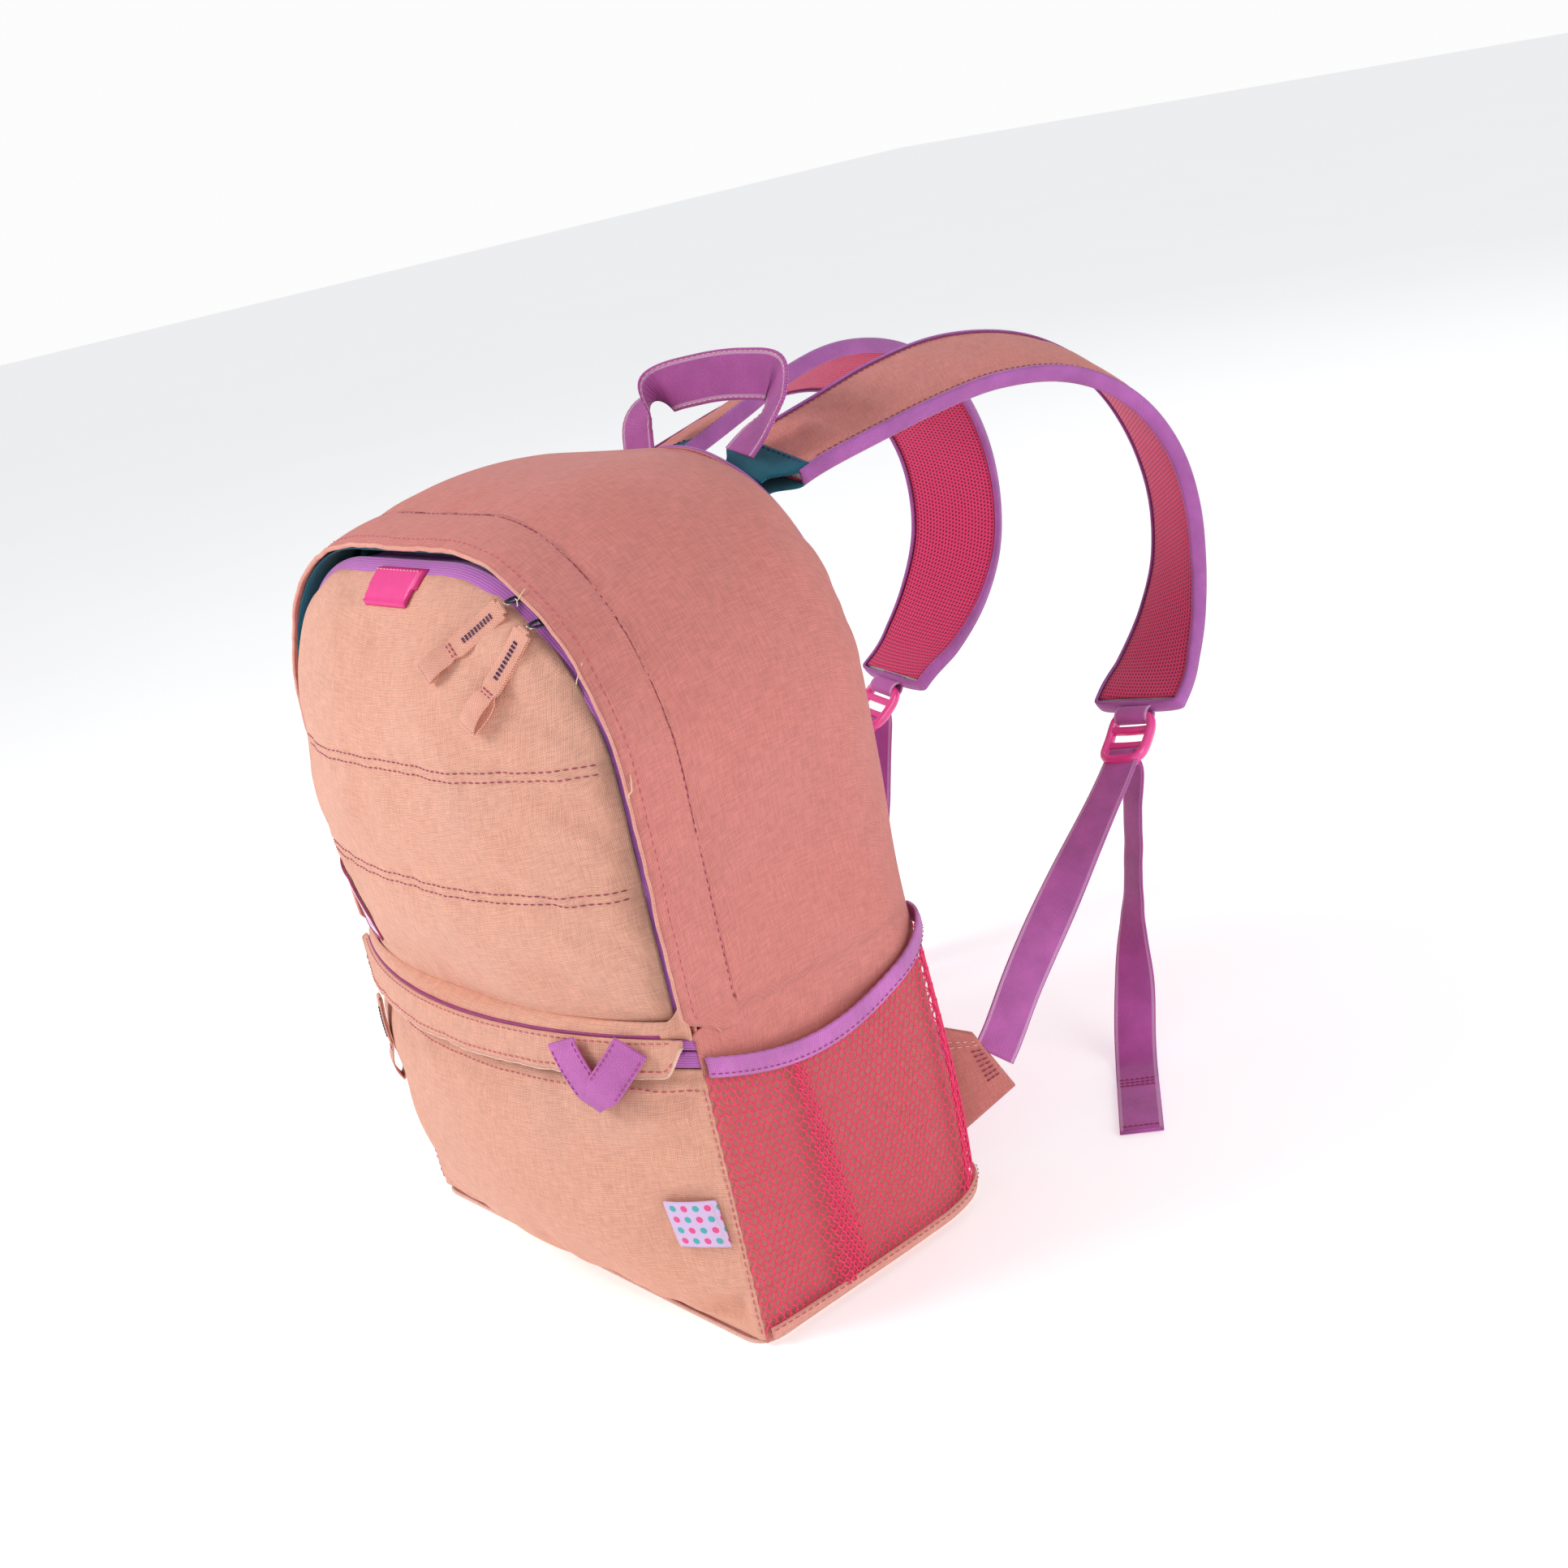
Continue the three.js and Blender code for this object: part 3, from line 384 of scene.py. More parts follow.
def on_grid(grid, u, v):
    """Points at fractions u, v of a grid."""
    rows, columns = grid.shape[:2]
    a = np.clip(np.asarray(u, float) * (rows - 1), 0, rows - 1.000001)
    b = np.clip(np.asarray(v, float) * (columns - 1), 0, columns - 1.000001)
    i, j = a.astype(int), b.astype(int)
    s, t = (a - i)[..., None], (b - j)[..., None]
    return (grid[i, j] * (1 - s) * (1 - t) + grid[i + 1, j] * s * (1 - t)
            + grid[i, j + 1] * (1 - s) * t + grid[i + 1, j + 1] * s * t)


# ---- cloth simulation ----
def settled(grid, free, growth=0.02, pressure=1.0, cap=4.0, inward=0.3, frames=24, stiffness=6.0,
            bending=0.3):
    """Lets cloth take its own folds between seams. free is 0 at a seam and 1 where it moves freely."""
    rows, columns = grid.shape[:2]
    rng = np.random.default_rng(rows * 1000 + columns)
    n = normals(grid)
    start = grid + n * (rng.uniform(-0.35, 0.35, (rows, columns, 1)) * free[..., None])
    obj = mesh_object("settling", start.reshape(-1, 3), [grid_faces(rows, columns)],
                      bpy.data.materials["plain"])
    group = obj.vertex_groups.new(name="held")
    held = (1 - free).ravel()
    for i in np.nonzero(held > 0.01)[0]:
        group.add([int(i)], float(held[i]), "REPLACE")
    modifier = obj.modifiers.new("cloth", "CLOTH")
    s = modifier.settings
    s.quality = 6
    s.mass = 0.15
    s.tension_stiffness = s.compression_stiffness = stiffness
    s.shear_stiffness = stiffness / 2
    s.bending_stiffness = bending
    s.air_damping = 2
    s.vertex_group_mass = "held"
    s.shrink_min = -growth
    s.use_pressure = True
    s.uniform_pressure_force = pressure
    s.effector_weights.gravity = 0
    modifier.collision_settings.use_collision = False
    modifier.point_cache.frame_start = 1
    modifier.point_cache.frame_end = frames
    scene = bpy.context.scene
    for f in range(1, frames + 1):
        scene.frame_set(f)
    evaluated = obj.evaluated_get(bpy.context.evaluated_depsgraph_get())
    co = np.empty(rows * columns * 3, np.float32)
    evaluated.data.vertices.foreach_get("co", co)
    bpy.data.objects.remove(obj)
    scene.frame_set(1)
    shift = co.reshape(rows, columns, 3).astype(float) / MM - grid
    for _ in range(2):
        padded = np.pad(shift, ((1, 1), (1, 1), (0, 0)), mode="edge")
        ring = padded[:-2, 1:-1] + padded[2:, 1:-1] + padded[1:-1, :-2] + padded[1:-1, 2:]
        shift = 0.4 * shift + 0.15 * ring
    out = (shift * n).sum(axis=2, keepdims=True)
    side = shift - out * n
    reach = np.maximum(np.linalg.norm(side, axis=2, keepdims=True), 1e-9)
    side *= np.minimum(1, 1.5 / reach)
    return grid + (n * cap * np.tanh(np.maximum(out, -inward) / cap) + side) * smooth(free * 3)[..., None]


# ---- materials ----
class Nodes:
    """Writes shader nodes as short expressions."""

    def __init__(self, name, roughness, **sockets):
        self.material = bpy.data.materials.new(name)
        self.material.use_nodes = True
        self.tree = self.material.node_tree
        self.shader = self.tree.nodes["Principled BSDF"]
        self.shader.inputs["Roughness"].default_value = roughness
        for key, value in sockets.items():
            self.shader.inputs[key.replace("_", " ")].default_value = value

    def add(self, kind, *inputs, **settings):
        node = self.tree.nodes.new("ShaderNode" + kind)
        for key, value in settings.items():
            setattr(node, key, value)
        for key, value in inputs:
            self.put(node.inputs[key], value)
        return node

    def put(self, socket, value):
        if isinstance(value, bpy.types.NodeSocket):
            self.tree.links.new(value, socket)
        else:
            socket.default_value = value

    def math(self, operation, *values):
        return self.add("Math", *enumerate(values), operation=operation).outputs[0]

    def plus(self, a, b):
        return self.math("ADD", a, b)

    def minus(self, a, b):
        return self.math("SUBTRACT", a, b)

    def times(self, a, b):
        return self.math("MULTIPLY", a, b)

    def odd(self, value):
        """Whether whole numbers are odd."""
        return self.math("MODULO", value, 2)

    def ribs(self, value):
        """Rounded ridges, one for each whole number."""
        return self.math("ABSOLUTE", self.math("SINE", self.times(value, math.pi)))

    def radius(self, du, dv):
        return self.math("SQRT", self.plus(self.times(du, du), self.times(dv, dv)))

    def uv(self, pitch_u, pitch_v=None):
        """The cloth coordinates, counted in pitches of so many millimetres."""
        split = self.add("SeparateXYZ", (0, self.add("UVMap", uv_map="cloth").outputs[0]))
        return (self.times(split.outputs[0], 1 / (pitch_u * MM)),
                self.times(split.outputs[1], 1 / ((pitch_v or pitch_u) * MM)))

    def place(self):
        return self.add("TexCoord").outputs["Object"]

    def noise(self, size, detail=3.0, roughness=0.55, vector=None):
        """Noise of about 0 to 1 whose blotches are so many millimetres wide."""
        return self.add("TexNoise", ("Vector", vector or self.place()), ("Scale", 1 / (size * MM)),
                        ("Detail", detail), ("Roughness", roughness)).outputs["Fac"]

    def ramp(self, value, low, high, to_low=0.0, to_high=1.0):
        return self.add("MapRange", ("Value", value), ("From Min", low), ("From Max", high),
                        ("To Min", to_low),
                        ("To Max", to_high), clamp=True).outputs[0]

    def mix(self, factor, a, b, blend="MIX"):
        node = self.add("Mix", data_type="RGBA", blend_type=blend)
        self.put(node.inputs[0], factor)
        self.put(node.inputs[6], a)
        self.put(node.inputs[7], b)
        return node.outputs[2]

    def colour(self, value):
        self.put(self.shader.inputs["Base Color"], value)

    def rough(self, value):
        self.put(self.shader.inputs["Roughness"], value)

    def bump(self, height, distance, strength=1.0):
        node = self.add("Bump", ("Height", height), ("Distance", distance * MM), ("Strength", strength))
        self.tree.links.new(node.outputs[0], self.shader.inputs["Normal"])


def shade(colour, amount):
    return tuple(min(c * amount, 1.0) for c in colour[:3]) + (1.0,)


def thread_height(g, pitch):
    """The height of a plain weave, with the threads so many millimetres apart."""
    u, v = g.uv(pitch)
    over = g.odd(g.math("ABSOLUTE", g.plus(g.math("FLOOR", u), g.math("FLOOR", v))))
    warp = g.ribs(u)
    weft = g.ribs(v)
    one = g.times(warp, g.math("MULTIPLY_ADD", weft, 0.4, 0.6))
    other = g.times(weft, g.math("MULTIPLY_ADD", warp, 0.4, 0.6))
    return g.plus(g.times(one, over), g.times(other, g.minus(1, over)))


def woven(name, colour, pitch=0.85, mottle=0.045, sheen=0.25, warm=(1.0, 0.94, 0.91)):
    """Plain-woven cloth: threads, slubs, uneven dye, a little fuzz, and painted shade darkening the weave's
    hollows.
    """
    g = Nodes(name, 0.82, Sheen_Weight=sheen, Sheen_Roughness=0.45, Specular_IOR_Level=0.25)
    g.shader.inputs["Sheen Tint"].default_value = shade(tuple(0.5 + c / 2 for c in colour), 1)
    height = thread_height(g, pitch)
    u, v = g.uv(1.0)
    stretched = g.add("CombineXYZ", (0, g.times(u, 0.12)), (1, v)).outputs[0]
    crossed = g.add("CombineXYZ", (0, u), (1, g.times(v, 0.12))).outputs[0]
    slub = g.plus(
                  g.add("TexNoise", ("Vector", stretched), ("Scale", 0.9), ("Detail", 2.0)).outputs["Fac"],
                  g.add("TexNoise", ("Vector", crossed), ("Scale", 0.9), ("Detail", 2.0)).outputs["Fac"])
    tone = g.mix(g.ramp(g.noise(38, 4.0), 0.3, 0.7), shade(colour, 1 - mottle), shade(colour, 1 + mottle))
    warmer = g.mix(g.ramp(g.noise(85, 2.0), 0.35, 0.7), tone,
                   shade(tuple(c * w for c, w in zip(colour, warm)), 1))
    threads = g.mix(g.ramp(slub, 0.7, 1.3, 0.0, 1.0), (0.86, 0.84, 0.84, 1), (1.1, 1.1, 1.1, 1))
    # Painted shade: the colour darkens in the hollows between threads.
    valleys = g.mix(g.ramp(height, 0.1, 0.75), (0.62, 0.58, 0.6, 1), (1.05, 1.05, 1.05, 1))
    g.colour(g.mix(1.0, g.mix(1.0, warmer, threads, "MULTIPLY"), valleys, "MULTIPLY"))
    g.rough(g.ramp(g.noise(6), 0.2, 0.8, 0.72, 0.92))
    g.bump(g.plus(height, g.times(slub, 0.5)), 0.16, 0.8)
    return g.material


def ribbed(name, colour, rib=1.1, edge_at=None, lengthwise=False, sheen=0.3, depth=0.35):
    """Webbing or grosgrain: ribs over the width, fine threads in them, and paler lines near the two edges."""
    g = Nodes(name, 0.6, Sheen_Weight=sheen, Sheen_Roughness=0.35, Specular_IOR_Level=0.4)
    u, v = g.uv(rib, 0.5)
    if lengthwise:
        v, u = g.uv(0.5, rib)
    row = g.math("FLOOR", v)
    phase = g.plus(u, g.times(g.odd(row), 0.5))
    rib_height = g.ribs(phase)
    thread = g.ribs(v)
    height = g.times(rib_height, g.math("MULTIPLY_ADD", thread, 0.35, 0.65))
    tone = g.mix(g.ramp(g.noise(22, 3.0), 0.3, 0.7), shade(colour, 0.85), shade(colour, 1.15))
    if edge_at:
        _, across = g.uv(1.0)
        away = g.math("ABSOLUTE", g.minus(g.math("ABSOLUTE", across), edge_at))
        tone = g.mix(g.ramp(away, 0.5, 1.1, 1.0, 0.0), tone,
                     shade(tuple(0.25 + 0.75 * c for c in colour), 1.1))
    # Painted shade: the colour darkens in the hollows between ribs and threads.
    valleys = g.mix(g.ramp(height, 0.1, 0.7), (0.5, 0.45, 0.5, 1), (1.1, 1.1, 1.1, 1))
    g.colour(g.mix(1.0, tone, valleys, "MULTIPLY"))
    g.rough(g.ramp(g.noise(3), 0.3, 0.7, 0.5, 0.72))
    g.bump(height, depth, 0.8)
    return g.material


def air_mesh(name, colour, cell=2.6):
    """Spacer mesh with small round holes, coloured near black as painted shade."""
    g = Nodes(name, 0.75, Sheen_Weight=0.25, Specular_IOR_Level=0.25)
    u, v = g.uv(cell, cell * 0.87)
    shifted = g.plus(u, g.times(g.odd(g.math("FLOOR", v)), 0.5))
    du = g.minus(g.math("FRACT", shifted), 0.5)
    dv = g.minus(g.math("FRACT", v), 0.5)
    away = g.radius(du, dv)
    solid = g.ramp(away, 0.2, 0.36)
    fuzz = g.noise(0.7, 2.0)
    tone = g.mix(fuzz, shade(colour, 0.8), shade(colour, 1.2))
    # Painted shade: the holes are coloured near black.
    g.colour(g.mix(solid, shade(colour, 0.22), tone))
    g.bump(g.plus(solid, g.times(fuzz, 0.3)), 0.6, 0.9)
    return g.material


def fuzzy(name, colour, rib=1.3):
    """Zip tape: a soft knitted band with fine ribs along its length."""
    g = Nodes(name, 0.8, Sheen_Weight=0.4, Sheen_Roughness=0.5, Specular_IOR_Level=0.25)
    _, v = g.uv(1.0, rib)
    ribs = g.ribs(v)
    fuzz = g.noise(0.5, 3.0)
    tone = g.mix(fuzz, shade(colour, 0.55), shade(colour, 1.35))
    # Painted shade: the tape is half as bright between its ribs.
    g.colour(g.mix(g.ramp(ribs, 0.0, 0.5), shade(colour, 0.5), tone))
    g.bump(g.plus(g.times(ribs, 0.6), fuzz), 0.4, 0.8)
    return g.material


def moulded(name, colour, roughness, grain=0.6, depth=0.03, coat=0.0, subsurface=0.0):
    """Moulded plastic or rubber: faint grain, uneven gloss and fine rubbed marks."""
    g = Nodes(name, roughness, Coat_Weight=coat, Coat_Roughness=0.12, Subsurface_Weight=subsurface,
              Subsurface_Scale=0.004)
    scratch = g.add("CombineXYZ", (0, g.times(g.uv(1.0)[0], 0.15)), (1, g.uv(1.0)[1])).outputs[0]
    marks = g.add("TexNoise", ("Vector", scratch), ("Scale", 2.2), ("Detail", 4.0)).outputs["Fac"]
    blotch = g.noise(9, 3.0)
    g.colour(g.mix(g.ramp(blotch, 0.3, 0.7), shade(colour, 0.93), shade(colour, 1.06)))
    g.rough(g.ramp(marks, 0.35, 0.75, roughness * 0.8, roughness * 1.35))
    g.bump(g.plus(g.noise(grain, 2.0), g.times(marks, 0.4)), depth, 0.5)
    return g.material


def brushed(name, colour):
    g = Nodes(name, 0.32, Metallic=1.0, Anisotropic=0.4)
    grain = g.noise(1.2, 5.0, 0.7)
    g.colour(g.mix(g.ramp(g.noise(4), 0.3, 0.7), shade(colour, 0.8), shade(colour, 1.08)))
    g.rough(g.ramp(grain, 0.3, 0.7, 0.22, 0.46))
    g.bump(grain, 0.03, 0.4)
    return g.material


def foam_material(name, colour):
    g = Nodes(name, 0.9)
    cells = g.add("TexVoronoi", ("Vector", g.place()), ("Scale", 1 / (1.4 * MM))).outputs["Distance"]
    # Painted shade: the pores, where the cells sink in, are darker.
    g.colour(g.mix(g.ramp(cells, 0.0, 0.6), shade(colour, 0.7), shade(colour, 1.05)))
    g.bump(cells, 0.5, 0.8)
    return g.material


def board_material(name, colour):
    g = Nodes(name, 0.55)
    fibre = g.noise(2.0, 6.0, 0.7)
    g.colour(g.mix(fibre, shade(colour, 0.7), shade(colour, 1.3)))
    g.bump(fibre, 0.1, 0.6)
    return g.material


def dotted(name, ground, first, second, spacing, radius):
    """Satin label cloth with a plain grid of coloured dots."""
    g = Nodes(name, 0.55, Sheen_Weight=0.2)
    u, v = g.uv(spacing)
    du = g.minus(g.math("FRACT", u), 0.5)
    dv = g.minus(g.math("FRACT", v), 0.5)
    away = g.radius(du, dv)
    dot = g.ramp(away, radius, radius + 0.06, 1.0, 0.0)
    which = g.odd(g.math("ABSOLUTE", g.plus(g.math("FLOOR", u), g.math("FLOOR", v))))
    height = thread_height(g, 0.5)
    # Painted shade: the ground is darker in the hollows of its weave.
    tone = g.mix(g.ramp(height, 0.1, 0.7), shade(ground, 0.8), shade(ground, 1.05))
    g.colour(g.mix(dot, tone, g.mix(which, shade(first, 1), shade(second, 1))))
    g.bump(height, 0.08, 0.6)
    return g.material


PEACH = (0.86, 0.46, 0.335)
# The peach cloth again, made darker and a little pinker as painted shade, for the gusset, storm flap, back,
# bottom, anchors and strap tops.
PEACH_IN_PAINTED_SHADE = (0.74, 0.27, 0.235)
PURPLE = (0.60, 0.15, 0.50)
TEAL = (0.010, 0.165, 0.20)
NET_PINK = (0.92, 0.045, 0.17)
HOT_PINK = (0.88, 0.07, 0.33)
PALE = (0.95, 0.62, 0.52)

bpy.data.materials.new("plain")
peach = woven("peach_cloth", PEACH)
peach_painted_shade = woven("peach_cloth_painted_shade", PEACH_IN_PAINTED_SHADE)
pale = woven("pale_edge", PALE, sheen=0.1)
fold_edge = woven("fold_edge", (0.86, 0.42, 0.34), sheen=0.15)
teal = woven("teal_cloth", TEAL, mottle=0.25, warm=(0.3, 0.55, 0.8))
lining = woven("teal_lining", (0.015, 0.22, 0.24), pitch=0.6, mottle=0.06)
purple_web = ribbed("purple_webbing", PURPLE, rib=1.5, edge_at=11.0)
handle_web = ribbed("handle_webbing", (0.48, 0.10, 0.38), rib=1.4, edge_at=11.6)
tail_web = ribbed("tail_webbing", (0.54, 0.10, 0.42), rib=1.5, edge_at=11.0)
binding = ribbed("purple_binding", (0.48, 0.13, 0.46), rib=1.0, depth=0.25)
elastic = ribbed("elastic", (0.66, 0.20, 0.58), rib=2.0, lengthwise=True, depth=0.5)
pull_web = ribbed("pull_webbing", (0.90, 0.42, 0.30), rib=1.3, depth=0.35)
net_yarn = moulded("net_yarn", NET_PINK, 0.6, grain=0.5, depth=0.08)
spacer = air_mesh("air_mesh", (0.80, 0.05, 0.18))
tape = fuzzy("zip_tape", (0.60, 0.17, 0.60))
coil = moulded("zip_coil", (0.36, 0.08, 0.36), 0.35)
dark_thread = moulded("plum_thread", (0.36, 0.03, 0.12), 0.6, grain=0.4, depth=0.06)
rose_thread = moulded("rose_thread", (0.62, 0.12, 0.18), 0.6, grain=0.4, depth=0.06)
pale_thread = moulded("pale_thread", (0.85, 0.55, 0.48), 0.6, grain=0.4, depth=0.06)
navy_thread = moulded("navy_thread", (0.06, 0.02, 0.10), 0.6, grain=0.4, depth=0.06)
beige_thread = moulded("beige_thread", (0.75, 0.62, 0.40), 0.7, grain=0.4, depth=0.06)
plum_piping = moulded("plum_piping", (0.30, 0.03, 0.16), 0.6, grain=0.5, depth=0.1)
plastic = moulded("pink_plastic", HOT_PINK, 0.22, grain=1.5, depth=0.015, coat=0.4, subsurface=0.15)
rubber = moulded("pink_rubber", (0.80, 0.03, 0.25), 0.45, grain=0.5, depth=0.04)
metal = brushed("zip_metal", (0.62, 0.58, 0.60))
foam = foam_material("foam", (0.80, 0.78, 0.74))
board = board_material("base_board", (0.05, 0.05, 0.055))
label = dotted("label_cloth", (0.70, 0.52, 0.80), (0.80, 0.05, 0.25), (0.05, 0.40, 0.45), 6.5, 0.26)
patch_cloth = dotted("patch_cloth", (0.80, 0.66, 0.82), (0.85, 0.10, 0.35), (0.10, 0.45, 0.50), 9.0, 0.30)


def belongs(obj, body, slot, *nodes):
    if nodes:
        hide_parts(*nodes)
    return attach(obj, body)


def bends(obj, body_a, body_b, start, end, slot, *nodes):
    if nodes:
        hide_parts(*nodes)
    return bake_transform(obj)


FOLD_START = (0, -115, 181)
FOLD_END = (0, -115, 240)


def folds(obj, slot, *nodes):
    """The front panel's own pieces: the CAD nodes they replace are hidden and each piece's placement is baked
    into its mesh; the fold line where the panel is sewn to the bag is passed on but not used.
    """
    return bends(obj, "bag", "front_panel", FOLD_START, FOLD_END, slot, *nodes)


# ---- outlines of the bag; a station runs 0-1 up the right side, 1-2 round the shoulder, 2-3 to the middle,
# and from 3 to 6 the same on the left ----
def split_station(station):
    station = np.asarray(station, float)
    return np.where(station > 3, 6 - station, station), np.where(station > 3, -1.0, 1.0)


def front_outline(station, inset=0.0):
    p, side = split_station(station)
    angle = np.radians(90 * clamp01(p - 1))
    radius = SHOULDER_RADIUS - inset
    x = np.where(p <= 2, ARC_X + radius * np.cos(angle), ARC_X * (3 - p))
    x = np.where(p <= 1, HALF_WIDTH - inset, x)
    z = np.where(p <= 1, lerp(SIDE_FOOT_Z, ARC_Z, p), ARC_Z + radius * np.sin(angle))
    return side * x, z


def back_half_width(z):
    flare = BOTTOM_FLARE * smooth((150 - z) / 110)
    return BACK_HALF_WIDTH + flare - WAIST * np.exp(-(((z - 195) / 35) ** 2))


def back_outline(station):
    p, side = split_station(station)
    low = lerp(SIDE_FOOT_Z, BACK_ARCH_Z, clamp01(p))
    angle = np.radians(np.where(p <= 2, 64 * (p - 1), lerp(64, 90, p - 2)))
    wide = back_half_width(np.where(p <= 1, low, BACK_ARCH_Z))
    x = np.where(p <= 1, wide, wide * np.cos(angle))
    z = np.where(p <= 1, low, BACK_ARCH_Z + BACK_ARCH_RISE * np.sin(angle))
    return side * x, z


def side_surface(station, y, turn=0.0):
    station, y, turn = np.broadcast_arrays(*[np.asarray(c, float) for c in (station, y, turn)])
    fx, fz = front_outline(station)
    bx, bz = back_outline(station)
    inward = 1 - np.cos(np.radians(turn))
    depth = np.where(turn > 0, TURN_Y + (BACK_Y - TURN_Y) * np.sin(np.radians(turn)), y)
    top = smooth(split_station(station)[0] - 1)
    along = clamp01((depth - FLAP_EDGE_Y) / (BACK_Y - FLAP_EDGE_Y))
    rise = TOP_PUFF * top * np.sin(math.pi * along) * (1 - 0.5 * inward)
    return points(lerp(fx, bx, inward), depth, lerp(fz, bz, inward) + rise)


def side_normal(station, y, turn=0.0):
    station, y, turn = np.broadcast_arrays(*[np.asarray(c, float) for c in (station, y, turn)])
    ahead = side_surface(np.minimum(station + 0.02, 6), y, turn)
    along = ahead - side_surface(np.maximum(station - 0.02, 0), y, turn)
    flat = side_surface(station, y + 1, 0) - side_surface(station, y - 1, 0)
    least = np.maximum(turn, 1)
    curved = side_surface(station, y, least + 1) - side_surface(station, y, least - 1)
    across = np.where((turn > 0)[..., None], curved, flat)
    return unit(np.cross(across, along))


def side_offset(station, y, turn, offset):
    lift = np.asarray(offset, float)[..., None]
    return side_surface(station, y, turn) + side_normal(station, y, turn) * lift


def even_stations(low, high, pitch):
    """Stations at even distances along the front outline."""
    dense = np.linspace(low, high, 4000)
    x, z = front_outline(dense)
    s = np.concatenate([[0], np.cumsum(np.hypot(np.diff(x), np.diff(z)))])
    return np.interp(np.linspace(0, s[-1], int(s[-1] / pitch) + 1), s, dense)


def out_of_outline(station):
    p, side = split_station(station)
    angle = np.radians(90 * clamp01(p - 1))
    return points(side * np.cos(angle), 0 * angle, np.sin(angle))


# ---- side band, with the flap over the main zip ----
def build_gusset():
    stations = even_stations(0, 6, 5.0)
    # the band runs on round the back corner: depth first, then the turn
    straight = np.arange(FLAP_ROOT_Y - 1.0, TURN_Y, 5.0)
    turns = np.linspace(3, 74, 12)
    low_front = np.linspace(FRONT_Y + 0.8, FLAP_ROOT_Y - 6, 5)
    y = np.concatenate([low_front, straight, np.full(len(turns) + 1, TURN_Y)])
    turn = np.concatenate([np.zeros(len(low_front) + len(straight) + 1), turns])
    s, y = np.meshgrid(stations, y, indexing="ij")
    turn = np.broadcast_to(turn, s.shape)
    p = split_station(s)[0]
    # above the end of the zip the band starts at the flap's root, where it is tucked under the flap
    y = np.where((p >= ZIP_FOOT) & (y < FLAP_ROOT_Y - 1), FLAP_ROOT_Y - 1 - (FLAP_ROOT_Y - 1 - y) * 0.02, y)
    grid = side_offset(s, y, turn, np.zeros_like(s))
    column = np.arange(s.shape[1])
    free = smooth(np.minimum(column, column[::-1]) / 3)[None, :] * np.ones_like(s)
    free = free * smooth(p / 0.05) * np.where((p < ZIP_FOOT + 0.02) & (y < -66), 0.0, 1.0)
    in_pocket = (p < 0.5) & (y < 60)
    free = np.where(in_pocket, free * 0.35, free)
    grid, free = grid[:, ::-1], free[:, ::-1]
    grid = settled(grid, free, growth=0.028, pressure=1.2, cap=3.2, inward=0.0, bending=0.25)
    grid = finer(grid, 2)
    # The gusset is the peach cloth in its darker copy: painted shade.
    obj = cloth("gusset_cloth", grid, peach_painted_shade)
    belongs(obj, "bag", "salmon_fabric", "gusset")
    seam = even_stations(0.02, 5.98, 3.0)
    row = (side_offset(seam, TURN_Y, 70, 0.4 * np.ones(1)), side_normal(seam, TURN_Y, 70))
    belongs(stitched("back_seam_stitches", [row], rose_thread), "bag", "salmon_fabric")


def build_storm_flap():
    foot = ZIP_FOOT - 0.035
    stations = even_stations(foot, 6 - foot, 3.0)
    p = split_station(stations)[0]
    end = smooth((p - foot) / 0.05)
    v = np.linspace(0, 1, 12)
    arc = arc_length(points(*front_outline(stations), 0.0))
    sway = 0.7 * waves(arc, 3, 90) + 0.35 * waves(arc, 4, 24)
    root = FLAP_ROOT_Y + 2.0
    edge = lerp(root - 14, FLAP_EDGE_Y, end) + 0.5 * waves(arc, 5, 60)
    y = root + (edge - root)[:, None] * v[None, :]
    puff = 1.3 + 1.2 * np.sin(math.pi * v)[None, :] + 0.8 * sway[:, None] * v[None, :]
    puff = puff * (0.3 + 0.7 * smooth(v * 6))[None, :]
    grid = side_offset(np.broadcast_to(stations[:, None], y.shape), y, 0.0, puff)
    outward = side_normal(np.broadcast_to(stations[:, None], y.shape), y)
    obj = cloth("storm_flap", grid, peach_painted_shade, thickness=2.2, out=outward)
    belongs(obj, "bag", "salmon_fabric")
    out = side_normal(stations, y[:, -1])
    edge_line = grid[:, -1] - out * 1.1
    across = points(0 * stations, 1 + 0 * stations, 0 * stations)
    piping = swept("storm_flap_fold", edge_line, oval(0.7, 1.3, 10), across, out, fold_edge)
    belongs(piping, "bag", "salmon_fabric")
    for where, column, material in (("root", 1, dark_thread), ("edge", 9, rose_thread)):
        row = (grid[4:-4, column], side_normal(stations[4:-4], y[4:-4, column]))
        belongs(stitched(f"storm_flap_{where}_stitches", [row], material), "bag", "salmon_fabric")
    under = FLAP_EDGE_Y + 1.6
    hidden = np.linspace(under, FLAP_ROOT_Y, 9)
    s, y = np.meshgrid(stations[6:-6], hidden, indexing="ij")
    lining_grid = side_offset(s, y, 0.0, np.full(s.shape, -1.9))
    obj = cloth("storm_flap_underside", lining_grid, teal, thickness=1.0, out=side_normal(s, y))
    belongs(obj, "bag", "teal_lining", "storm_flap_lining")


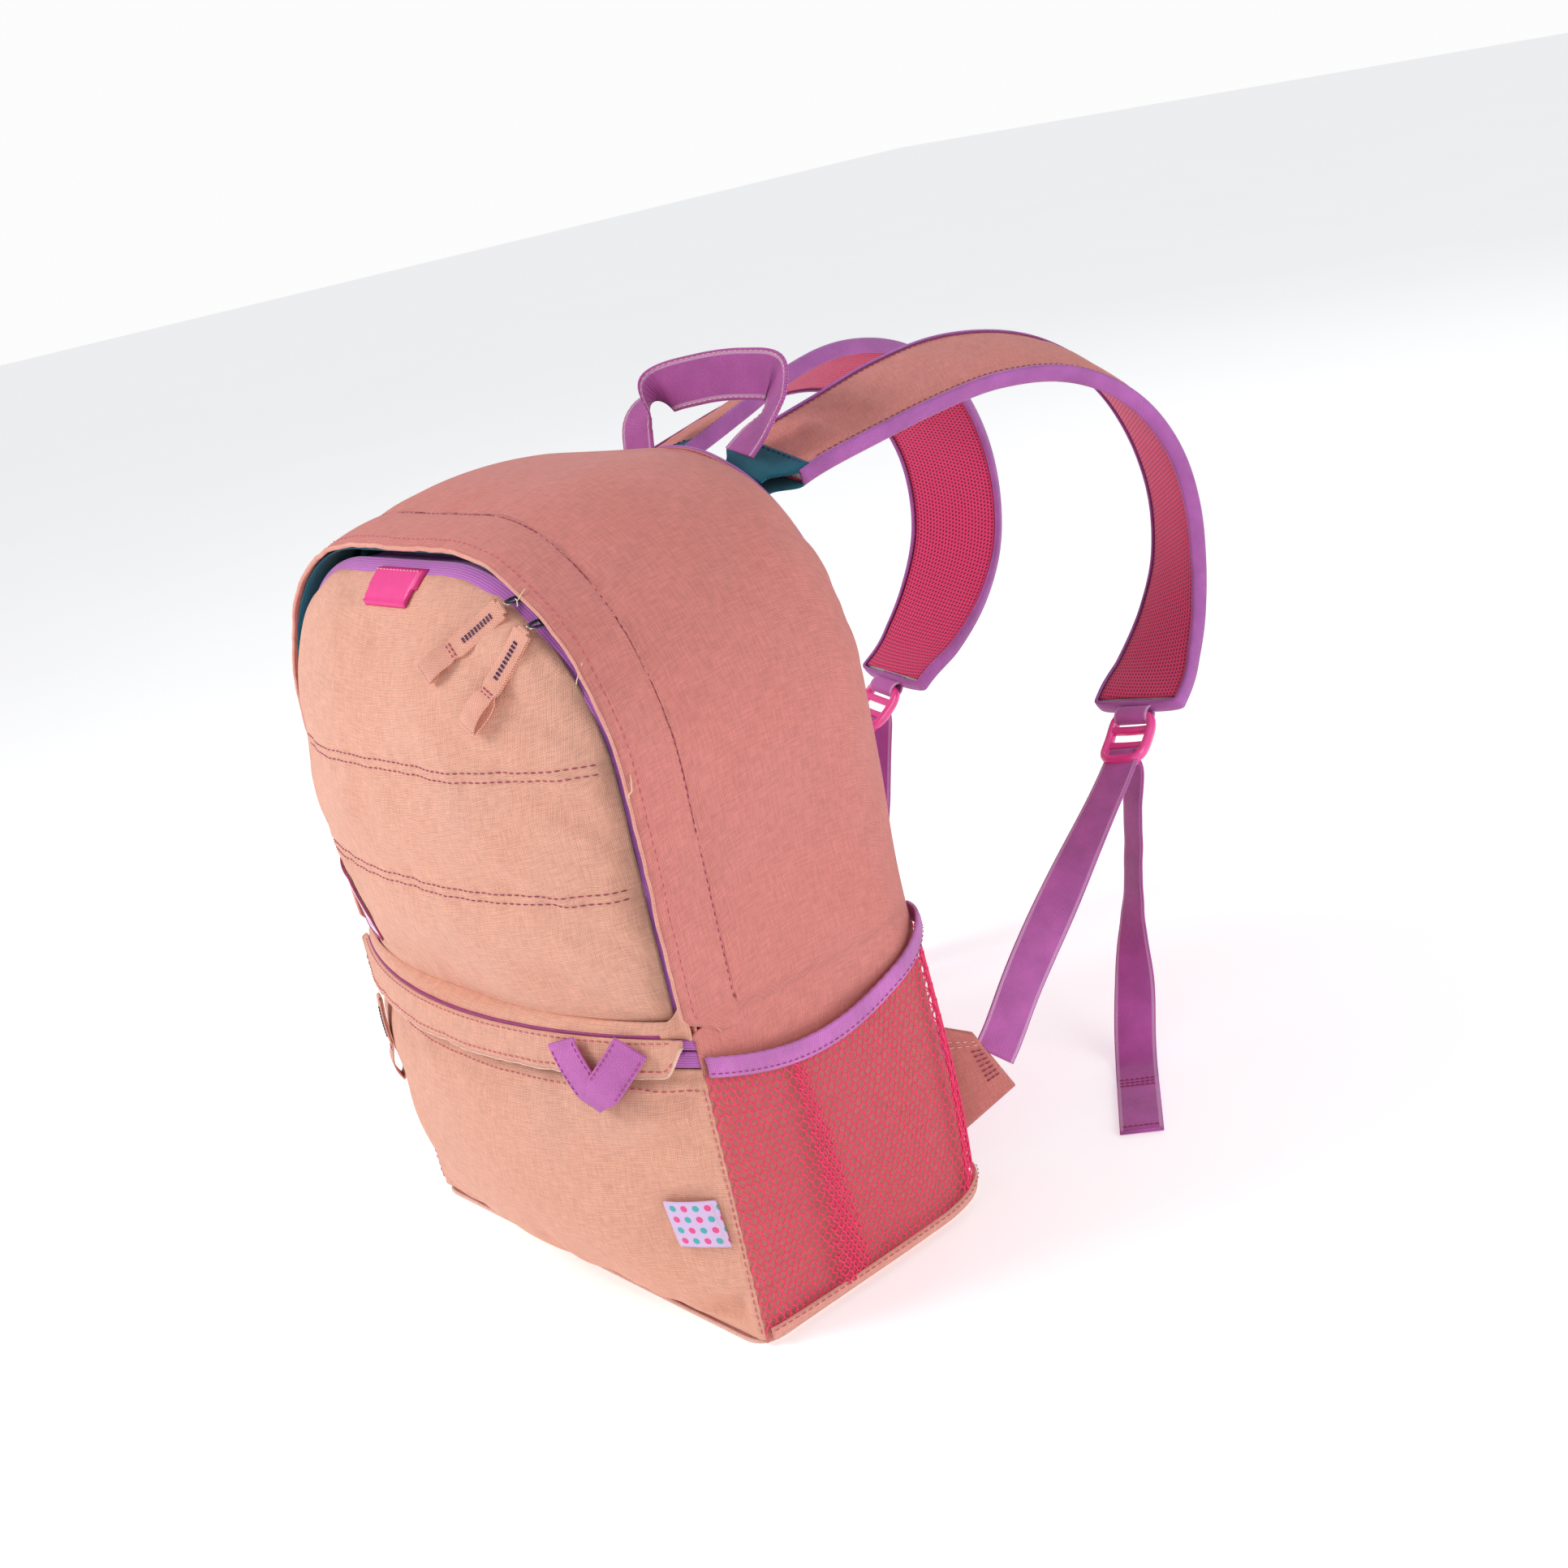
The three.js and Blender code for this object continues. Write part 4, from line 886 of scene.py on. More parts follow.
def build_loose_threads():
    """Short thread ends left at two places on the flap's edge."""
    runs = []
    for station, seed in ((1.62, 1), (1.36, 2), (1.05, 4)):
        rng = np.random.default_rng(seed)
        start = side_offset(np.array(station), FLAP_EDGE_Y + 3, 0.0, np.array(2.0))
        out = side_normal(np.array(station), FLAP_EDGE_Y + 3.0)
        t = np.linspace(0, 1, 14)[:, None]
        drift = np.array([rng.uniform(-4, 4), -4 - rng.uniform(0, 3), -6 - rng.uniform(0, 4)])
        curl = np.stack([np.sin(t[:, 0] * 7 + seed), np.cos(t[:, 0] * 5), np.sin(t[:, 0] * 9)],
                        axis=1) * 1.0
        runs.append(start + t * drift + curl * t + out * (1.2 * np.sin(math.pi * t)))
    for k, line in enumerate(runs):
        line = spline(line, np.linspace(0, 1, 40))
        up = unit(np.cross(tangents(line), np.array([0.3, 0.8, 0.2])))
        belongs(cord_along(f"loose_thread_{k + 1}", line, up, 0.28, beige_thread, sides=6), "bag",
                "salmon_fabric")


# ---- front panel ----
def panel_half_width(z, inset):
    radius = SHOULDER_RADIUS - inset
    above = np.maximum(z - ARC_Z, 0)
    return np.where(z <= ARC_Z, HALF_WIDTH - inset, ARC_X + np.sqrt(np.maximum(radius**2 - above**2, 0)))


def panel_bulge(x, z):
    x, z = np.broadcast_arrays(np.asarray(x, float), np.asarray(z, float))
    inset = HALF_WIDTH - ZIP_INSET - np.abs(x)
    corner = SHOULDER_RADIUS - ZIP_INSET - np.hypot(np.abs(x) - ARC_X, z - ARC_Z)
    inset = np.where(z > ARC_Z, np.where(np.abs(x) > ARC_X, corner, TOP_Z - ZIP_INSET - z), inset)
    crown = (1 - (1 - clamp01(inset / 115)) ** 2) ** 0.8
    foot = PANEL_FOOT_BULGE / PANEL_BULGE
    return PANEL_BULGE * crown * lerp(foot, 1, smooth((z - PANEL_FOOT_Z) / 60))


def panel_grid(pitch):
    high = TOP_Z - ZIP_INSET - 0.8
    z = np.linspace(PANEL_FOOT_Z, high, int((high - PANEL_FOOT_Z) / pitch) + 1)
    # rows gather towards the top, where the outline turns over
    z = np.where(z > ARC_Z, ARC_Z + (high - ARC_Z) * np.sin((z - ARC_Z) / (high - ARC_Z) * math.pi / 2), z)
    u = np.linspace(-1, 1, int(2 * (HALF_WIDTH - ZIP_INSET) / pitch) + 1)
    u, z = np.meshgrid(u, z, indexing="ij")
    x = u * panel_half_width(z, ZIP_INSET + 0.5)
    return points(x, FRONT_Y - panel_bulge(x, z), z)


def calm(x, z, x0, x1, z0, z1, fade=12.0):
    """0 over a rectangle that carries a flat decoration, and 1 a little way off."""
    away = np.maximum(np.maximum(x0 - x, x - x1), np.maximum(z0 - z, z - z1))
    return smooth(away / fade)


def panel_calm(x, z):
    return calm(x, z, -24, 27, 384, 410) * calm(x, z, -120, -80, 194, 238)


def build_front_panel():
    grid = panel_grid(4.5)
    rows, columns = grid.shape[:2]
    i, j = np.meshgrid(np.arange(rows), np.arange(columns), indexing="ij")
    rim = np.minimum(np.minimum(i, rows - 1 - i), np.minimum(j, columns - 1 - j))
    free = smooth(rim / 3)
    for row in STITCH_ROWS:
        above = grid[..., 2] - row
        away = np.minimum(np.abs(above - ROW_PAIR / 2), np.abs(above + ROW_PAIR / 2))
        free = free * lerp(0.25, 1, smooth(away / 7))
    free = free * panel_calm(grid[..., 0], grid[..., 2])
    grid = settled(grid, free, growth=0.022, pressure=1.4, cap=3.0, inward=0.4, bending=0.35)
    grid = finer(grid, 3)
    x, z = grid[..., 0], grid[..., 2]
    out = normals(grid)
    inside = smooth(np.minimum(HALF_WIDTH - ZIP_INSET - np.abs(x), panel_bulge(x, z) * 2) / 10)
    level = 1.6 * inside
    for k, row in enumerate(STITCH_ROWS):
        for pair in (-0.5, 0.5):
            away = np.abs(z - row - pair * ROW_PAIR)
            level -= 0.9 * np.exp(-((away / 1.4) ** 2))
            pucker = np.sin(x / 3.1 + 3 * k + waves(x, 9 + k, 60))
            level += 0.5 * pucker * np.exp(-((away / 7) ** 2)) * smooth(away / 3)
    # slanting drag lines by the right edge, and puckers hanging from the badge
    drag = smooth((x - 55) / 60) * smooth((HALF_WIDTH - ZIP_INSET - x) / 14)
    phase = (0.72 * x + 1.1 * z) / 9.5 + 1.5 * waves(x + z, 12, 120)
    level += 2.1 * drag * (np.sin(phase) + 0.35 * np.sin(2 * phase + 0.8)) * smooth((z - 190) / 25)
    under_badge = np.exp(-((x / 30) ** 2)) * smooth((z - 345) / 20) * smooth((392 - z) / 12)
    level += 1.0 * under_badge * np.sin(x / 4.2 + 0.4 * np.sin(z / 9))
    level += 1.5 * waves(x * 0.8 + z * 0.5, 14, 90, 3) * smooth((HALF_WIDTH - ZIP_INSET - np.abs(x)) / 20)
    level = 1.6 * inside + (level - 1.6 * inside) * panel_calm(x, z)
    grid = grid + out * (level * smooth(np.minimum((z - PANEL_FOOT_Z) / 8, 1)))[..., None]
    obj = cloth("front_panel_cloth", grid, peach)
    folds(obj, "peach_fabric", "front_upper_panel")
    out = normals(grid)
    runs = []
    for row in STITCH_ROWS:
        for pair in (-0.5, 0.5):
            u = np.linspace(0.012, 0.988, 260)
            line, line_out = [], []
            for a in u:
                i = a * (grid.shape[0] - 1)
                column = grid[int(i)]
                k = int(np.argmin(np.abs(column[:, 2] - row - pair * ROW_PAIR)))
                line.append(column[k])
                line_out.append(out[int(i), k])
            line = np.array(line)
            line[:, 2] = row + pair * ROW_PAIR
            runs.append((line + np.array(line_out) * 0.3, np.array(line_out)))
    folds(stitched("panel_row_stitches", runs, dark_thread), "peach_fabric")
    return grid


def build_panel_foot():
    """The turned seam between the front panel's foot and the pocket flap's root."""
    x = np.linspace(-1, 1, 140) * (HALF_WIDTH - 0.8)
    v = np.linspace(0, 1, 11)
    x, v = np.meshgrid(x, v, indexing="ij")
    inner = np.clip(x, 1 - POCKET_HALF_WIDTH, POCKET_HALF_WIDTH - 1)
    spread = inner * (HALF_WIDTH - ZIP_INSET) / POCKET_HALF_WIDTH
    top = FRONT_Y - panel_bulge(spread, np.full_like(x, PANEL_FOOT_Z)) + 0.6
    low = pocket_arc_y(inner) - 4.9
    corner = smooth((np.abs(x) - 142) / 8)
    y = lerp(top, low, v) - 1.0 * np.sin(math.pi * v) * (1 - corner)
    y = np.where(corner > 0, lerp(y, FRONT_Y - 1.6, corner), y)
    z = lerp(PANEL_FOOT_Z + 1.2 + 8 * corner, 176.2 - 1.5 * corner, v**1.4)
    obj = cloth("panel_foot_seam", points(x, y, z), peach, thickness=1.2, out=np.array([0, -0.5, 1]))
    belongs(obj, "bag", "peach_fabric")
    # the side band's front edge, below the open foot of the storm flap
    x, z = np.meshgrid(np.linspace(139, HALF_WIDTH - 0.3, 12), np.linspace(152, 192, 16), indexing="ij")
    y = FRONT_Y + 1.6 + 7 * smooth((z - 180) / 12)
    for which, side in (("right", 1), ("left", -1)):
        corner = cloth(f"flap_corner_{which}", points(side * x, y, z), peach_painted_shade, thickness=1.2, out=FORWARD)
        belongs(corner, "bag", "salmon_fabric")


def build_linings():
    """Teal cloth inside the bag, seen when the front panel is folded open."""
    inner = panel_grid(9.0)[1:-1, 1:-1]
    grid = inner - normals(inner) * 3.0
    panel = cloth("front_panel_lining_cloth", grid, lining, thickness=0.8, out=BACKWARD)
    folds(panel, "teal_lining", "front_panel_lining")
    straight = np.linspace(FLAP_ROOT_Y + 3, TURN_Y, 12)
    turns = np.linspace(5, 58, 8)
    y = np.concatenate([straight, np.full(8, TURN_Y)])
    turn = np.concatenate([np.zeros(12), turns])
    s, y = np.meshgrid(even_stations(0.04, 5.96, 9.0), y, indexing="ij")
    band = side_offset(s, y, np.broadcast_to(turn, s.shape), np.full(s.shape, -3.2))
    wall = cloth("interior_lining_cloth", band, lining, thickness=0.8)
    belongs(wall, "bag", "teal_lining", "interior_lining")
    x, z = np.meshgrid(np.linspace(-1, 1, 60) * (POCKET_HALF_WIDTH - 3),
                       np.linspace(POCKET_FOOT_Z + 3.5, 170, 40), indexing="ij")
    bow = (PANEL_FOOT_BULGE - 2) * pocket_crown(x) * smooth((z - 20) / 150)
    back = cloth("pocket_back_cloth", points(x, FRONT_Y + 4.5 - bow, z), lining, thickness=0.8, out=FORWARD)
    belongs(back, "bag", "teal_lining", "pocket_back_wall")


def build_main_zip():
    stations = even_stations(ZIP_FOOT, 6 - ZIP_FOOT, 3.0)
    x, z = front_outline(stations, ZIP_INSET)
    out = out_of_outline(stations)
    across = points(0 * x, 1 + 0 * x, 0 * x)
    outer = swept("main_zip_outer_tape_cloth", points(x, -67, z) + out * 0.5, rounded_bar(5.6, 0.6, 0.4),
                  across, out, tape)
    belongs(outer, "bag", "zip_tape", "main_zip_outer_tape")
    inner = swept("main_zip_inner_tape_cloth", points(x, -82, z) + out * 0.5, rounded_bar(3.6, 0.6, 0.4),
                  across, out, tape)
    folds(inner, "zip_tape", "main_zip_inner_tape")
    dense = even_stations(ZIP_FOOT + 0.01, 6 - ZIP_FOOT - 0.01, 0.42)
    x, z = front_outline(dense, ZIP_INSET)
    turn = np.arange(len(dense)) * (2 * math.pi / 4)
    out = out_of_outline(dense)
    helix = points(x, -75.5 + 2.1 * np.cos(turn), z) + out * (0.8 + 0.55 * np.sin(turn))[:, None]
    side = unit(np.cross(tangents(helix), out))
    folds(swept("main_zip_teeth", helix, oval(0.36, 0.36, 5), side, unit(np.cross(side, tangents(helix))),
                coil),
          "zip_coil", "main_zip_coil")
    # a soft strip of tape turned out along the panel's edge, seen under the flap
    x, z = front_outline(stations, ZIP_INSET - 0.5)
    top = smooth((split_station(stations)[0] - 1.15) / 0.5)
    place = points(x, FRONT_Y + lerp(3.0, -1.5, top), z)
    out = unit(out_of_outline(stations) * 0.75 + np.array([0, -0.65, 0]))
    across = unit(np.cross(tangents(place), out))
    edge = swept("main_zip_tape_edge", place, rounded_bar(4.2, 0.8, 0.6), across, out, tape)
    folds(edge, "zip_tape")


def panel_point(x, z, height=0.0):
    y = FRONT_Y - panel_bulge(x, z)
    step = 0.5
    slope_x = (panel_bulge(np.asarray(x) + step, z) - panel_bulge(np.asarray(x) - step, z)) / (2 * step)
    slope_z = (panel_bulge(x, np.asarray(z) + step) - panel_bulge(x, np.asarray(z) - step)) / (2 * step)
    out = unit(points(-slope_x, -np.ones_like(slope_x), -slope_z) * np.array([1, 1, 1]))
    out = unit(points(-slope_x, -1 + 0 * slope_x, -slope_z))
    return points(x, y, z) + out * height, out


def build_badge():
    """A blank rubber badge: a slanted plate with round lower corners, a groove, and a stitched top."""
    u, v = np.meshgrid(np.linspace(-1, 1, 61), np.linspace(-1, 1, 31), indexing="ij")
    half, high, centre = 22.5, 7.8, 395.0
    round_off = np.where(v < 0, 1 - 0.10 * clamp01((np.abs(u) - 0.8) / 0.2) ** 2, 1.0)
    slant = 2.5 * v
    x = 1 + half * u * round_off + slant
    z = centre + high * v * np.where(v < 0, 1 - 0.25 * clamp01((np.abs(u) - 0.86) / 0.14) ** 2, 1.0)
    rim = smooth(np.minimum((1 - np.abs(u)) * half, (1 - np.abs(v)) * high) / 1.3)
    groove_u = np.abs((1 - u) * half - 2.6)
    groove_v = np.abs((1 + v) * high - 2.4)
    upright = np.exp(-((groove_u / 0.5) ** 2)) * ((1 + v) * high > 2.4)
    level = np.exp(-((groove_v / 0.5) ** 2)) * ((1 - u) * half > 2.6)
    groove = upright + level
    height = 2.3 + 2.1 * rim - 0.7 * clamp01(groove)
    grid, out = panel_point(x, z, height[..., None])
    obj = cloth("badge_plate", grid, rubber, thickness=1.6, out=out)
    belongs(obj, "front_panel", "pink_rubber", "badge")
    line, line_out = panel_point(np.linspace(-19, 23, 60), np.full(60, centre + high - 1.7), 4.5)
    belongs(stitched("badge_stitches", [(line, line_out)], pale_thread, length=2.2, gap=1.0, radius=0.3),
            "front_panel", "pink_rubber")


def build_patch():
    x, z = np.meshgrid(np.linspace(-118, -82, 31), np.linspace(196, 236, 33), indexing="ij")
    grid, out = panel_point(x, z, 3.0)
    obj = cloth("patch_panel", grid, patch_cloth, thickness=1.0, out=out)
    folds(obj, "label_fabric", "embroidered_patch")
    t = np.linspace(0, 1, 40)
    x = np.concatenate([lerp(-118, -82, t), np.full(40, -82.0), lerp(-82, -118, t), np.full(40, -118.0)])
    z = np.concatenate([np.full(40, 196.0), lerp(196, 236, t), np.full(40, 236.0), lerp(236, 196, t)])
    line, out = panel_point(x, z, 2.9)
    folds(cord_along("patch_border", line, out, 1.0, dark_thread, flat=0.6), "label_fabric")


# ---- front pocket, its zip, flap and loop ----
def pocket_arc_y(x, radius=POCKET_RADIUS):
    return POCKET_CENTRE_Y - np.sqrt(radius**2 - x**2)


def pocket_crown(x):
    return (np.sqrt(POCKET_RADIUS**2 - x**2) - math.sqrt(POCKET_RADIUS**2 - POCKET_HALF_WIDTH**2)) / 36


def pocket_bulge(z):
    foot = 1 - (1 - clamp01((z - POCKET_FOOT_Z + 1) / 95)) ** 2.6
    return lerp(43, 36, smooth((z - 135) / 23)) * foot


def pocket_arc(half_width, count):
    angle = np.linspace(-1, 1, count) * math.asin(half_width / POCKET_RADIUS)
    out = points(np.sin(angle), -np.cos(angle), 0 * angle)
    return np.array([0, POCKET_CENTRE_Y, 0]) + out * POCKET_RADIUS, out


def build_front_pocket():
    z = np.concatenate([POCKET_FOOT_Z + 30 * np.linspace(0, 1, 9) ** 1.6,
                        np.linspace(38.5, POCKET_TOP_Z, 27)])
    x = np.concatenate([[-153.8, -152.6], np.linspace(-1, 1, 69) * (POCKET_HALF_WIDTH + 0.6),
                        [152.6, 153.8]])
    x, z = np.meshgrid(x, z, indexing="ij")
    crown = np.maximum(pocket_crown(np.clip(x, -POCKET_HALF_WIDTH, POCKET_HALF_WIDTH)), 0)
    y = FRONT_Y - 0.4 - pocket_bulge(z) * crown
    y = y + 1.6 * smooth((np.abs(x) - POCKET_HALF_WIDTH - 0.4) / 3.6)
    grid = points(x, y, z)
    rows, columns = grid.shape[:2]
    i, j = np.meshgrid(np.arange(rows), np.arange(columns), indexing="ij")
    free = smooth(np.minimum(np.minimum(i, rows - 1 - i), np.minimum(j, columns - 1 - j)) / 3)
    free = free * calm(np.abs(grid[..., 0]), grid[..., 2], 121, 150, 56, 88)
    grid = settled(grid, free, growth=0.03, pressure=1.4, cap=4.0, inward=1.0, bending=0.3)
    grid = finer(grid, 3)
    x, z = grid[..., 0], grid[..., 2]
    out = normals(grid)
    side = smooth((np.abs(x) - 95) / 45)
    edge = smooth((POCKET_HALF_WIDTH - np.abs(x)) / 10)
    fan = (z - 95 + 0.5 * (POCKET_HALF_WIDTH - np.abs(x))) / 8.5
    fan = fan + 1.2 * waves(z, 21, 80) + np.where(x > 0, 0, 2.0)
    level = 1.0 + 2.6 * side * edge * (np.sin(fan) + 0.3 * np.sin(2 * fan + 1.1))
    level += 1.6 * waves(z * 0.9 + x * 0.35, 23, 110, 3) * edge
    level *= smooth((POCKET_TOP_Z - z) / 12) * smooth((z - POCKET_FOOT_Z) / 12)
    level *= calm(x, z, 121, 150, 56, 88, 8.0)
    seam = z - (POCKET_TOP_Z - 4)
    level += -0.6 * np.exp(-((seam / 1.2) ** 2))
    grid = grid + out * level[..., None]
    obj = cloth("front_pocket_cloth", grid, peach)
    belongs(obj, "bag", "peach_fabric", "front_pocket")
    out = normals(grid)
    top = grid.shape[1] - 8
    runs = [(grid[6:-6, top] + out[6:-6, top] * 0.3, out[6:-6, top])]
    for column in (4, -5):
        runs.append((grid[column, 6:-6] + out[column, 6:-6] * 0.3, out[column, 6:-6]))
    belongs(stitched("front_pocket_stitches", runs, rose_thread), "bag", "peach_fabric")


def build_pocket_zip():
    line, out = pocket_arc(POCKET_HALF_WIDTH + 2.6, 90)
    up = np.tile([0.0, 0.0, 1.0], (len(line), 1))
    upper = swept("pocket_zip_upper_tape_cloth", line - out * 0.5 + [0, 0, 171.2],
                  rounded_bar(0.6, 3.0, 0.4), out, up, tape)
    belongs(upper, "bag", "zip_tape", "pocket_zip_upper_tape")
    lower = swept("pocket_zip_lower_tape_cloth", line - out * 0.5 + [0, 0, 162.9],
                  rounded_bar(0.6, 4.3, 0.4), out, up, tape)
    belongs(lower, "bag", "zip_tape", "pocket_zip_lower_tape")
    dense, dense_out = pocket_arc(POCKET_HALF_WIDTH - 4, 700)
    turn = np.arange(len(dense)) * (2 * math.pi / 4)
    helix = dense + dense_out * (0.4 + 0.5 * np.sin(turn))[:, None]
    helix = helix + points(0 * turn, 0 * turn, 167.6 + 1.9 * np.cos(turn))
    side = unit(np.cross(tangents(helix), dense_out))
    teeth = swept("pocket_zip_teeth", helix, oval(0.36, 0.36, 5), side,
                  unit(np.cross(side, tangents(helix))), coil)
    belongs(teeth, "bag", "zip_coil")


POCKET_FLAP_START = (0, -128, 178)
POCKET_FLAP_END = (0, -128, 165)


def with_flap(obj, slot, *nodes):
    return bends(obj, "bag", "pocket_flap", POCKET_FLAP_START, POCKET_FLAP_END, slot, *nodes)


def build_pocket_flap():
    count = 150
    angle = np.linspace(-1, 1, count) * math.asin((POCKET_HALF_WIDTH - 1) / POCKET_RADIUS)
    out = points(np.sin(angle), -np.cos(angle), 0 * angle)
    v = np.linspace(0, 1, 12)
    s = angle * POCKET_RADIUS
    lean = lerp(4.2, 7.4, v)[None, :] + 0.7 * np.sin(math.pi * v)[None, :]
    lean = lean + 0.55 * v * waves(s, 31, 70)[:, None]
    lean = lean + 0.35 * v * waves(s, 32, 21)[:, None]
    # the two ends are cut at a slant
    drop = 19.5 * smooth((POCKET_HALF_WIDTH - 1 - np.abs(s) + 9) / 16)
    z = 176.6 - drop[:, None] * v[None, :] + 0.4 * waves(s, 33, 50)[:, None] * v
    base = np.array([0, POCKET_CENTRE_Y, 0]) + out[:, None] * (POCKET_RADIUS + lean[..., None] + FABRIC)
    grid = base + points(0 * z, 0 * z, z)
    obj = cloth("pocket_flap_cloth", grid, peach, thickness=1.5, out=out[:, None])
    with_flap(obj, "peach_fabric", "pocket_flap")
    n = normals(grid)
    if (n[count // 2, 5] @ np.array([0, -1.0, 0])) < 0:
        n = -n
    runs = [(grid[3:-3, k] + n[3:-3, k] * 0.3, n[3:-3, k]) for k in (1, 9)]
    with_flap(stitched("pocket_flap_stitches", runs, rose_thread), "peach_fabric")
    fold = grid[:, -1] - n[:, -1] * 0.75
    across = unit(np.cross(tangents(fold), n[:, -1]))
    with_flap(swept("pocket_flap_fold", fold, oval(0.7, 1.1, 8), across, n[:, -1], pale), "peach_fabric")
    line, out = pocket_arc(POCKET_HALF_WIDTH - 12, 90)
    piping = line + out * 4.4 + [0, 0, 177.4]
    belongs(cord_along("pocket_flap_piping", piping, out, 0.9, plum_piping), "bag", "purple_binding")


def build_gear_loop():
    """A loop of webbing sewn into the flap's seam and folded to a point: one leg lies over the other."""
    t = np.linspace(0, 1, 30)
    parts, runs = [], []
    for way, lift in ((1, 1.9), (-1, 0.7)):
        x = 108 + way * lerp(20.5, -2.0, t**1.15) + 2 * (1 - t)
        z = lerp(175.5, 144, t)
        lean = 9.6 + (175 - z) * 0.145
        radius = POCKET_RADIUS + lean + lift + 0.8 * np.sin(math.pi * t)
        line = points(x, POCKET_CENTRE_Y - np.sqrt(radius**2 - x**2), z)
        out = unit(points(x / radius, -np.sqrt(1 - (x / radius) ** 2), 0 * x))
        across = unit(np.cross(out, tangents(line)))
        scale = 1 - 0.45 * smooth((t - 0.7) / 0.3)
        parts.append(swept("leg", line, rounded_bar(9.5, 0.6, 0.4), across, out, purple_web, scale=scale))
        for k in (-8.0, 8.0):
            runs.append((line[2:22] + across[2:22] * k + out[2:22] * 0.8, out[2:22]))
    with_flap(joined("gear_loop_webbing", parts), "purple_webbing", "gear_loop")
    with_flap(stitched("gear_loop_stitches", runs, dark_thread, **FINE_STITCH), "purple_webbing")


# ---- mesh side pockets ----
def pocket_mouth_z(v):
    return lerp(164, 172, v) - 22 * np.sin(math.pi * np.minimum(v * 1.15, 1)) * (1 - 0.25 * v)


def side_place(side, v, z, offset):
    y = np.where(v < 0.68, lerp(FRONT_Y + 1, TURN_Y, v / 0.68), TURN_Y)
    turn = np.where(v < 0.68, 0.0, np.maximum(lerp(0, 66, (v - 0.68) / 0.32), 0.01))
    station = (z - SIDE_FOOT_Z) / (ARC_Z - SIDE_FOOT_Z)
    station = station if side > 0 else 6 - station
    return side_offset(station, y, turn, offset)


def net_puff(u, v):
    belly = 0.15 + 0.85 * np.sin(math.pi * np.minimum(u * 0.75 + 0.12, 1))
    return 8 * np.sin(math.pi * clamp01(v)) ** 0.6 * belly


def net_surface(side, u, v, lift=0.0):
    """u runs up the pocket, v from its front seam to its back seam."""
    z = lerp(SIDE_FOOT_Z + 5, pocket_mouth_z(v) - 8, u)
    crease = 1.6 * ridge(v - 0.30 + 0.05 * u, 0.02) - 1.3 * ridge(v - 0.36 + 0.05 * u, 0.03)
    crease += 1.2 * ridge(v - 0.80, 0.02) - 1.0 * ridge(v - 0.85, 0.025)
    crease += 0.8 * np.sin(v * 23 + 2.5 * u) * (1 - 0.3 * u)
    ends = smooth(np.minimum(v, 1 - v) / 0.06)
    return side_place(side, v, z, 1.2 + net_puff(u, v) + (crease + lift) * ends)


def net_edges(cells_across, cells_up):
    """The edges of a honeycomb over the unit square, as pairs of u, v points."""
    starts, ends = [], []
    for row in range(cells_up):
        for column in range(cells_across + 1):
            v = (column + 0.5 * (row % 2)) / cells_across
            u = row / cells_up
            low, high = (u + 0.18 / cells_up, u + 0.68 / cells_up)
            starts.append((low, v))
            ends.append((high, v))
            for way in (-0.5, 0.5):
                starts.append((high, v))
                ends.append((u + 1.18 / cells_up, v + way / cells_across))
    starts, ends = np.array(starts), np.array(ends)
    across = np.stack([starts[:, 1], ends[:, 1]])
    keep = (across.min(axis=0) >= 0) & (across.max(axis=0) <= 1) & (ends[:, 0] <= 1.0)
    return starts[keep], ends[keep]


def yarns(name, a, b, out, radius, material):
    """Many short straight yarns, each a square rod from a to b."""
    t = unit(b - a)
    n = unit(out - t * (out * t).sum(axis=1, keepdims=True))
    s = np.cross(t, n)
    a, b = a - t * radius * 0.5, b + t * radius * 0.5
    corners = []
    for p in (a, b):
        for x, y in ((1, 0), (0, 0.8), (-1, 0), (0, -0.8)):
            corners.append(p + (s * x + n * y) * radius)
    co = np.stack(corners, axis=1).reshape(-1, 3)
    base = (np.arange(len(a)) * 8)[:, None]
    sides = [base + np.array([k, (k + 1) % 4, 4 + (k + 1) % 4, 4 + k]) for k in range(4)]
    return mesh_object(name, co, [np.concatenate(sides)], material)


